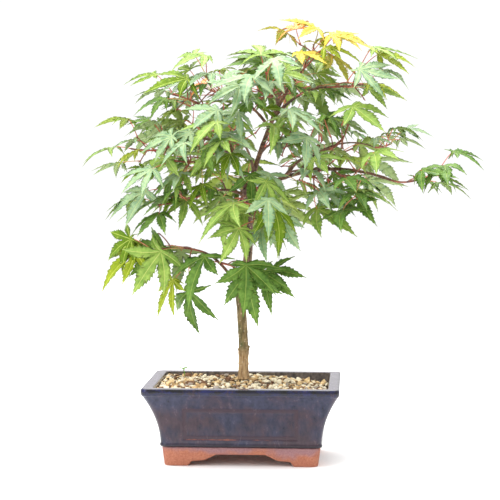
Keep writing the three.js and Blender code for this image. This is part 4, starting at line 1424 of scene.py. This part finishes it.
def build_gravel():
    rng = np.random.default_rng(GRAVEL_SEED)
    shapes = stone_shapes(rng)
    odds = shares_of(weight for _, _, weight in STONE_COLOURS.values())
    materials = []
    for name, (dark, light, _) in STONE_COLOURS.items():
        materials.append(grained_finish(f"stone_{name}", (dark, light), 650, 0.85, 0.25,
                                        relief=0.0006, detail=4, grit=0.7))
    pile = Pile()
    for x, y, radius, depth in strewn_places(rng):
        corners, faces = shapes[rng.integers(STONE_KINDS)]
        turned = corners @ stone_turn(rng).T * radius
        lift = rng.uniform(-STONE_LIFT, STONE_LIFT) * radius - depth
        middle = np.array((x, y, soil_height(x, y) + lift))
        pile.add(turned + middle, faces, mark=rng.choice(len(materials), p=odds))
    return pile.built("gravel", materials, smooth=False)


def strewn_places(rng):
    """Where stones lie: the larger ones first, and the grit where it still finds room."""
    trunk_x, trunk_y, _ = TRUNK_COURSE[0]
    places = np.zeros((0, 4))
    for count, least, greatest, closeness, depth in STONE_SIZES:
        for _ in range(STONE_TRIES * count):
            radius = least + (greatest - least) * rng.uniform() ** SMALLNESS
            room = cavity_inset(SOIL_LEVEL) + radius * WALL_SHARE + GAP
            x = rng.uniform(-1, 1) * (POT_WIDTH / 2 - room)
            y = rng.uniform(-1, 1) * (POT_DEPTH / 2 - room)
            if math.hypot(x - trunk_x, y - trunk_y) < TRUNK_ROOM + radius * TRUNK_SHARE:
                continue
            apart = np.hypot(places[:, 0] - x, places[:, 1] - y)
            if (apart >= closeness * (places[:, 2] + radius)).all():
                places = np.vstack((places, (x, y, radius, depth)))
    return places


def build_sprout():
    """A tiny green seedling among the stones at the left."""
    pile = Pile()
    x, y = SPROUT_PLACE
    stalk = bending_line(np.array((x, y, soil_height(x, y))), **SPROUT_STALK)
    share, radii = along_bar(SPROUT_BAR)
    pile.add(*tube(stalk(share), radii, SPROUT_BAR.sides))
    for heading, rise, length in SPROUT_LEAVES:
        line = bending_line(stalk(1.0), heading, rise, length, SPROUT_BLADE["arch"])
        radii = SPROUT_BLADE["half_width"] * pod(share, *SPROUT_BLADE["span"])
        points, walls, caps = tube(line(share), radii, SPROUT_BLADE["sides"])
        level = line(0.5)[2]
        points[:, 2] = level + (points[:, 2] - level) * SPROUT_BLADE["flatness"]
        pile.add(points, walls, caps)
    return pile.built("sprout", [blade_finish("sprout_green", *SPROUT_COLOURS)])


# Pot: how the visible one is laid out in rows from the middle of its underside, over the rim, to
# the floor inside

# The rounded bead at the glaze's lower edge, and the small undercut below it
BEAD = {"height": 1.6, "out": 0.7}
UNDERCUT = {"height": 0.4, "depth": 0.5}
UNDERSIDE_INSETS = (30, 4, 0.5)
WALL_ROWS = 64
# The lip's outer side bulges over an arc, in degrees either way, and fills most of its height
LIP_ROWS = 17
LIP_ARC = 80
LIP_BULGE = 1.12
LIP_FILL = 0.97
RIM_INSETS = (1.7, 2.6, 4.5, 7, 9.5)
# The rim's inner edge is rounded over the last part of a quarter turn
RIM_EDGE = {"radius": 1.2, "start": 20, "rows": 6}
# The cavity's rows start a little below the rim
CAVITY_ROWS = 14
CAVITY_START = 2
FLOOR_INSET = 20
OUTER_ROWS = len(UNDERSIDE_INSETS) + WALL_ROWS + LIP_ROWS + len(RIM_INSETS)
SIDE_STEPS = (150, 112)
CORNER_STEPS = 10
# Points that lie this near to a broad face's plane belong to it
FACE_ROOM = 0.5
# How far the panel's middle field rises back toward the wall
FIELD_RISE = 0.6
# Rust on the panel's lower edge: how wide, and how strong at places across it
RUST_HEIGHT = 0.7
RUST_RUN = ((-59, 0), (-54, 0.8), (-8, 1), (4, 0.15), (18, 0.6), (40, 0.4), (59, 0))

# Glaze colours, darker and lighter, and those of its marks
BLUE_GLAZE = ((14, 18, 42), (54, 56, 80))
BROWN_GLAZE = ((34, 20, 32), (66, 48, 58))
LIP_GLAZE = ((6, 4, 9), (22, 27, 78))
# The pale rim top is a painted reflection of the bright studio on the glossy flat rim
PAINTED_RIM_REFLECTION = ((64, 55, 66), (126, 118, 136))
INSIDE_GLAZE = ((48, 38, 34), (112, 98, 88))
LIP_STREAK = (44, 28, 40)
FOOT_SHADE = (24, 18, 28)
FRAME_SHADE = (54, 34, 44)
RUST = (152, 90, 70)
# Heights in metres: where the lip's glaze starts, where the glaze ends at the foot, and over
# which the brown gives way to blue
LIP_FROM = (0.0750, 0.0758)
FOOT_FROM = (0.024, 0.0205)
BROWN_BELOW = (0.05, 0.07)


def rounded_ring(half_width, half_depth, corner, along, around):
    """The points of a rounded rectangle, with even steps along its sides and round its corners."""
    arcs = []
    for side_x, side_y, turn in ((1, 1, 0), (-1, 1, 90), (-1, -1, 180), (1, -1, 270)):
        centre = np.array((side_x * (half_width - corner), side_y * (half_depth - corner)))
        angles = np.radians(turn + 90 * np.arange(around + 1) / around)
        arcs.append(centre + corner * np.stack((np.cos(angles), np.sin(angles)), axis=1))
    points = []
    for index, arc in enumerate(arcs):
        target = arcs[(index + 1) % len(arcs)][0]
        steps = along[index % 2]
        shares = np.arange(1, steps)[:, None] / steps
        points += [arc, arc[-1] + (target - arc[-1]) * shares]
    return np.concatenate(points)


def wall_inset(z):
    fall = (LIP_BOTTOM - z) / (LIP_BOTTOM - GLAZE_BOTTOM)
    return LIP_STEP + (GLAZE_BOTTOM_INSET - LIP_STEP) * (1 - (1 - fall) ** FLARE_POWER)


def pot_profile():
    """The pot's rows, as heights and how far each lies in from the rim's edge."""
    rows = [(GLAZE_BOTTOM, GLAZE_BOTTOM_INSET + inset) for inset in UNDERSIDE_INSETS]
    for z in np.linspace(GLAZE_BOTTOM, LIP_BOTTOM, WALL_ROWS):
        up = z - GLAZE_BOTTOM
        bead = BEAD["out"] * swell(up, BEAD["height"], BEAD["height"])
        undercut = UNDERCUT["depth"] * math.exp(-up / UNDERCUT["height"])
        rows.append((z, wall_inset(z) - bead + undercut))
    half_lip = (POT_HEIGHT - LIP_BOTTOM) / 2
    for angle in np.radians(np.linspace(-LIP_ARC, LIP_ARC, LIP_ROWS)):
        rise = math.sin(angle) / math.sin(math.radians(LIP_ARC))
        z = LIP_BOTTOM + half_lip + half_lip * LIP_FILL * rise
        rows.append((z, LIP_BULGE * (1 - math.cos(angle))))
    rows += [(POT_HEIGHT, inset) for inset in RIM_INSETS]
    radius = RIM_EDGE["radius"]
    for turn in np.radians(np.linspace(RIM_EDGE["start"], 90, RIM_EDGE["rows"])):
        rows.append((POT_HEIGHT - radius + radius * math.cos(turn),
                     RIM_WIDTH - radius + radius * math.sin(turn)))
    for z in np.linspace(POT_HEIGHT - CAVITY_START, CAVITY_FLOOR, CAVITY_ROWS):
        rows.append((z, cavity_inset(z)))
    rows.append((CAVITY_FLOOR, cavity_inset(CAVITY_FLOOR) + FLOOR_INSET))
    return np.array(rows)


def panel_depth(points):
    """How far the front and back faces are sunk in a framed panel, from 0 to 1, and how much
    rust its lower edge shows."""
    x, _, z = points.T
    middle = (PANEL["top"] + PANEL["bottom"]) / 2
    across = PANEL["half_width"] - np.abs(x)
    up = (PANEL["top"] - PANEL["bottom"]) / 2 - np.abs(z - middle)
    inside = np.minimum(across, up)
    outer = smooth_step(inside, 0, PANEL["slope"])
    inner = smooth_step(inside, PANEL["border"], PANEL["border"] + PANEL["slope"])
    rust = swell(z, PANEL["bottom"] + RUST_HEIGHT, RUST_HEIGHT) * np.interp(x, *zip(*RUST_RUN))
    return outer, inner, rust


def glaze_finish():
    """Dark slate blue with purple brown breaks, near black on the lip, rusty where it ran thin, and a rim
    top painted pale as a reflection of the bright studio.
    """
    finish = Finish("blue_glaze", 0.24, 0.34, Coat_Weight=0.2, Coat_Roughness=0.06)
    height = finish.height()
    cloud = finish.noise(34, distortion=0.3)
    run = finish.noise(150, detail=5, grit=0.7, stretch=(1, 1, 0.4))
    patch = finish.noise(130, detail=5, grit=0.72, stretch=(0.7, 1, 1.6))
    blue, brown, top, inside = (finish.shade(run, colours, 0.32, 0.68)
                                for colours in (BLUE_GLAZE, BROWN_GLAZE, PAINTED_RIM_REFLECTION, INSIDE_GLAZE))
    lean = finish.range(height, *BROWN_BELOW, 0.05, -0.08)
    break_up = finish.sum(finish.sum(cloud, lean), finish.range(run, 0.3, 0.7, -0.12, 0.12))
    body = finish.mix(finish.range(break_up, 0.4, 0.66), blue, brown)
    lip = finish.shade(patch, LIP_GLAZE, 0.42, 0.66)
    lip = finish.mix(finish.range(run, 0.54, 0.64), lip, LIP_STREAK)
    whole = finish.mix(finish.range(height, *LIP_FROM), body, lip)
    whole = finish.mix(finish.range(height, *FOOT_FROM), whole, FOOT_SHADE)
    # The rim's flat top, marked by its top value, gets the painted reflection
    whole = finish.mix(finish.value("top"), whole, top)
    whole = finish.mix(finish.value("inside"), whole, inside)
    whole = finish.mix(finish.range(finish.value("frame"), 0, 1, 0, 0.75), whole, FRAME_SHADE)
    uneven = finish.range(run, 0.35, 0.65, 0.1, -0.5)
    rust = finish.range(finish.sum(finish.value("rust"), uneven), 0.1, 1.1)
    finish.colour(finish.mix(rust, whole, RUST))
    finish.rough(finish.range(run, 0.3, 0.7, 0.16, 0.3))
    finish.bump(finish.noise(160), 0.0006, 0.35)
    return finish.material


def build_pot():
    profile = pot_profile()
    first_wall_row = len(UNDERSIDE_INSETS)
    first_top_row = OUTER_ROWS - len(RIM_INSETS) + 1
    rings, values = [], {"frame": [], "rust": [], "top": [], "inside": []}
    for index, (z, inset) in enumerate(profile):
        corner = POT_CORNER if index < OUTER_ROWS else CAVITY_CORNER
        flat = rounded_ring(POT_WIDTH / 2 - inset, POT_DEPTH / 2 - inset, corner, SIDE_STEPS,
                            CORNER_STEPS)
        ring = np.column_stack((flat, np.full(len(flat), z)))
        outer, inner, rust = panel_depth(ring)
        broad = np.abs(ring[:, 1]) > POT_DEPTH / 2 - inset - FACE_ROOM
        on_wall = broad & (first_wall_row <= index < first_wall_row + WALL_ROWS)
        sink = np.where(on_wall, PANEL["depth"] * (outer - FIELD_RISE * inner), 0)
        ring[:, 1] -= np.sign(ring[:, 1]) * sink
        rings.append(ring)
        values["frame"].append(np.where(on_wall, outer * (1 - inner), 0))
        values["rust"].append(np.where(on_wall, rust, 0))
        # The top value marks the rows from the rim's flat top inward: the painted reflection shows on the
        # rim's top, and the inside colour covers the rest
        values["top"].append(np.full(len(ring), float(index >= first_top_row)))
        values["inside"].append(np.full(len(ring), float(index > OUTER_ROWS)))
    points = np.vstack((*rings, (0, 0, profile[0, 0]), (0, 0, profile[-1, 0])))
    values = {name: np.append(np.concatenate(rows), (0, 0)) for name, rows in values.items()}
    sides = len(rings[0])
    faces = [end_caps(len(rings), sides), ring_faces(len(rings), sides)]
    return mesh_object("glazed_pot", points, faces, [glaze_finish()], values=values)


BASE_BEVEL = 1.3
BEVEL_STEPS = 3
# Faces that meet more flatly than this are one face, and edges sharper than this are softened
FLAT_ANGLE = math.radians(2)
SHARP_ANGLE = math.radians(18)
ORANGE_CLAY = ((150, 88, 68), (186, 124, 98))
PINK_CLAY = ((128, 90, 94), (166, 126, 126))
# The clay turns pink toward the glaze, between these heights in metres
PINK_FROM = (0.011, 0.018)
PINK_WANDER = 0.006


def clay_finish():
    finish = Finish("terracotta", 0.8, 0.3)
    cloud = finish.noise(45)
    grain = finish.noise(600, detail=5, grit=0.7)
    orange, pink = (finish.shade(grain, colours) for colours in (ORANGE_CLAY, PINK_CLAY))
    height = finish.sum(finish.height(), finish.range(cloud, 0.3, 0.7, -PINK_WANDER, PINK_WANDER))
    finish.colour(finish.mix(finish.range(height, *PINK_FROM), orange, pink))
    finish.bump(grain, 0.0006, 0.7)
    return finish.material


def build_base():
    """The unglazed base with its feet, its edges softened as fired clay's are."""
    form = bmesh.new()
    form.from_mesh(frame["nodes"]["pot_base"].data)
    bmesh.ops.remove_doubles(form, verts=form.verts, dist=1e-6)
    bmesh.ops.dissolve_limit(form, angle_limit=FLAT_ANGLE, verts=form.verts, edges=form.edges)
    sharp = [edge for edge in form.edges if edge.calc_face_angle(0) > SHARP_ANGLE]
    bmesh.ops.bevel(form, geom=sharp, offset=BASE_BEVEL * MM, segments=BEVEL_STEPS, profile=0.5,
                    affect="EDGES", clamp_overlap=True)
    bmesh.ops.triangulate(form, faces=form.faces)
    mesh = bpy.data.meshes.new("clay_base")
    form.to_mesh(mesh)
    form.free()
    mesh.materials.append(clay_finish())
    mesh.shade_smooth()
    return new_object("clay_base", mesh)


# Studio

FLOOR_COLOURS = ((250, 250, 250), (254, 254, 254))
FLOOR_HALF = 6000
SKY_STRENGTH = 1.05
# Square lamps: a name, a place, what they are turned to, a width and a power in watts
SOFTBOXES = (
    ("overhead", (-150, 150, 1600), (0, 0, 250), 2000, 64),
    ("front_left", (-1300, -1500, 900), (0, 0, 200), 1300, 10),
)
# How far the camera sees, in metres
FARTHEST_SEEN = 100


def build_studio():
    finish = grained_finish("studio_floor", FLOOR_COLOURS, 3, 0.9, span=(0, 1))
    corners = np.array(((-1, -1, 0), (1, -1, 0), (1, 1, 0), (-1, 1, 0))) * FLOOR_HALF
    floor = mesh_object("floor", corners, [np.array(((0, 1, 2, 3),))], [finish])
    world = bpy.data.worlds.new("studio")
    world.use_nodes = True
    sky = world.node_tree.nodes["Background"]
    sky.inputs["Color"].default_value = (1, 1, 1, 1)
    sky.inputs["Strength"].default_value = SKY_STRENGTH
    bpy.context.scene.world = world
    for name, place, target, width, power in SOFTBOXES:
        light = bpy.data.lights.new(name, "AREA")
        light.shape = "SQUARE"
        light.size = width * MM
        light.energy = power
        lamp = new_object(name, light)
        lamp.location = placed(place)
        aim = Vector(placed(target)) - lamp.location
        lamp.rotation_euler = aim.to_track_quat("-Z", "Y").to_euler()


def build_camera():
    """The camera stands in front, a little to the right, and looks slightly down and left."""
    data = bpy.data.cameras.new("camera")
    data.sensor_width = SENSOR
    data.sensor_fit = "HORIZONTAL"
    data.lens = SENSOR * FOCAL_PIXELS / IMAGE_SIZE
    data.clip_end = FARTHEST_SEEN
    camera = new_object("camera", data)
    turn = math.radians(CAMERA_TURN)
    aside, away = CAMERA_ASIDE, -CAMERA_DISTANCE
    x = aside * math.cos(turn) - away * math.sin(turn)
    y = aside * math.sin(turn) + away * math.cos(turn)
    camera.location = placed((x, y, CAMERA_HEIGHT))
    camera.rotation_euler = (math.radians(90 - CAMERA_PITCH), 0, turn)
    bpy.context.scene.camera = camera


# The whole plant

build_camera()
build_studio()

plant = Plant()
for branch in BRANCHES:
    grow_main(plant, branch)
masses = [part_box(f"foliage_{branch.shoot.name}") for branch in BRANCHES]
crown_low = np.min([local(low) for low, _ in masses], axis=0)
crown_high = np.max([local(high) for _, high in masses], axis=0)
crown_reach = (crown_low - REACH_ALLOWANCE, crown_high + REACH_ALLOWANCE)
for branch in BRANCHES:
    grow_fine(plant, branch, crown_reach)

foliage = [f"foliage_{branch.shoot.name}" for branch in BRANCHES]
for piece in build_leaves(plant.leaves):
    dress(piece, "foliage", *foliage)
dress(build_petioles(plant.leaves), "foliage", *foliage)
dress(build_twigs(plant), "bark", *foliage)
dress(build_trunk(plant), "bark", "trunk")
dress(build_boughs(plant), "bark", *[f"bough_{branch.name}" for branch in BRANCHES])
dress(build_bed(), "gravel", "soil")
dress(build_gravel(), "gravel", "soil")
dress(build_sprout(), "foliage")
dress(build_pot(), "glaze", "pot_body")
dress(build_base(), "terracotta", "pot_base")

bpy.context.scene.view_settings.view_transform = "Standard"
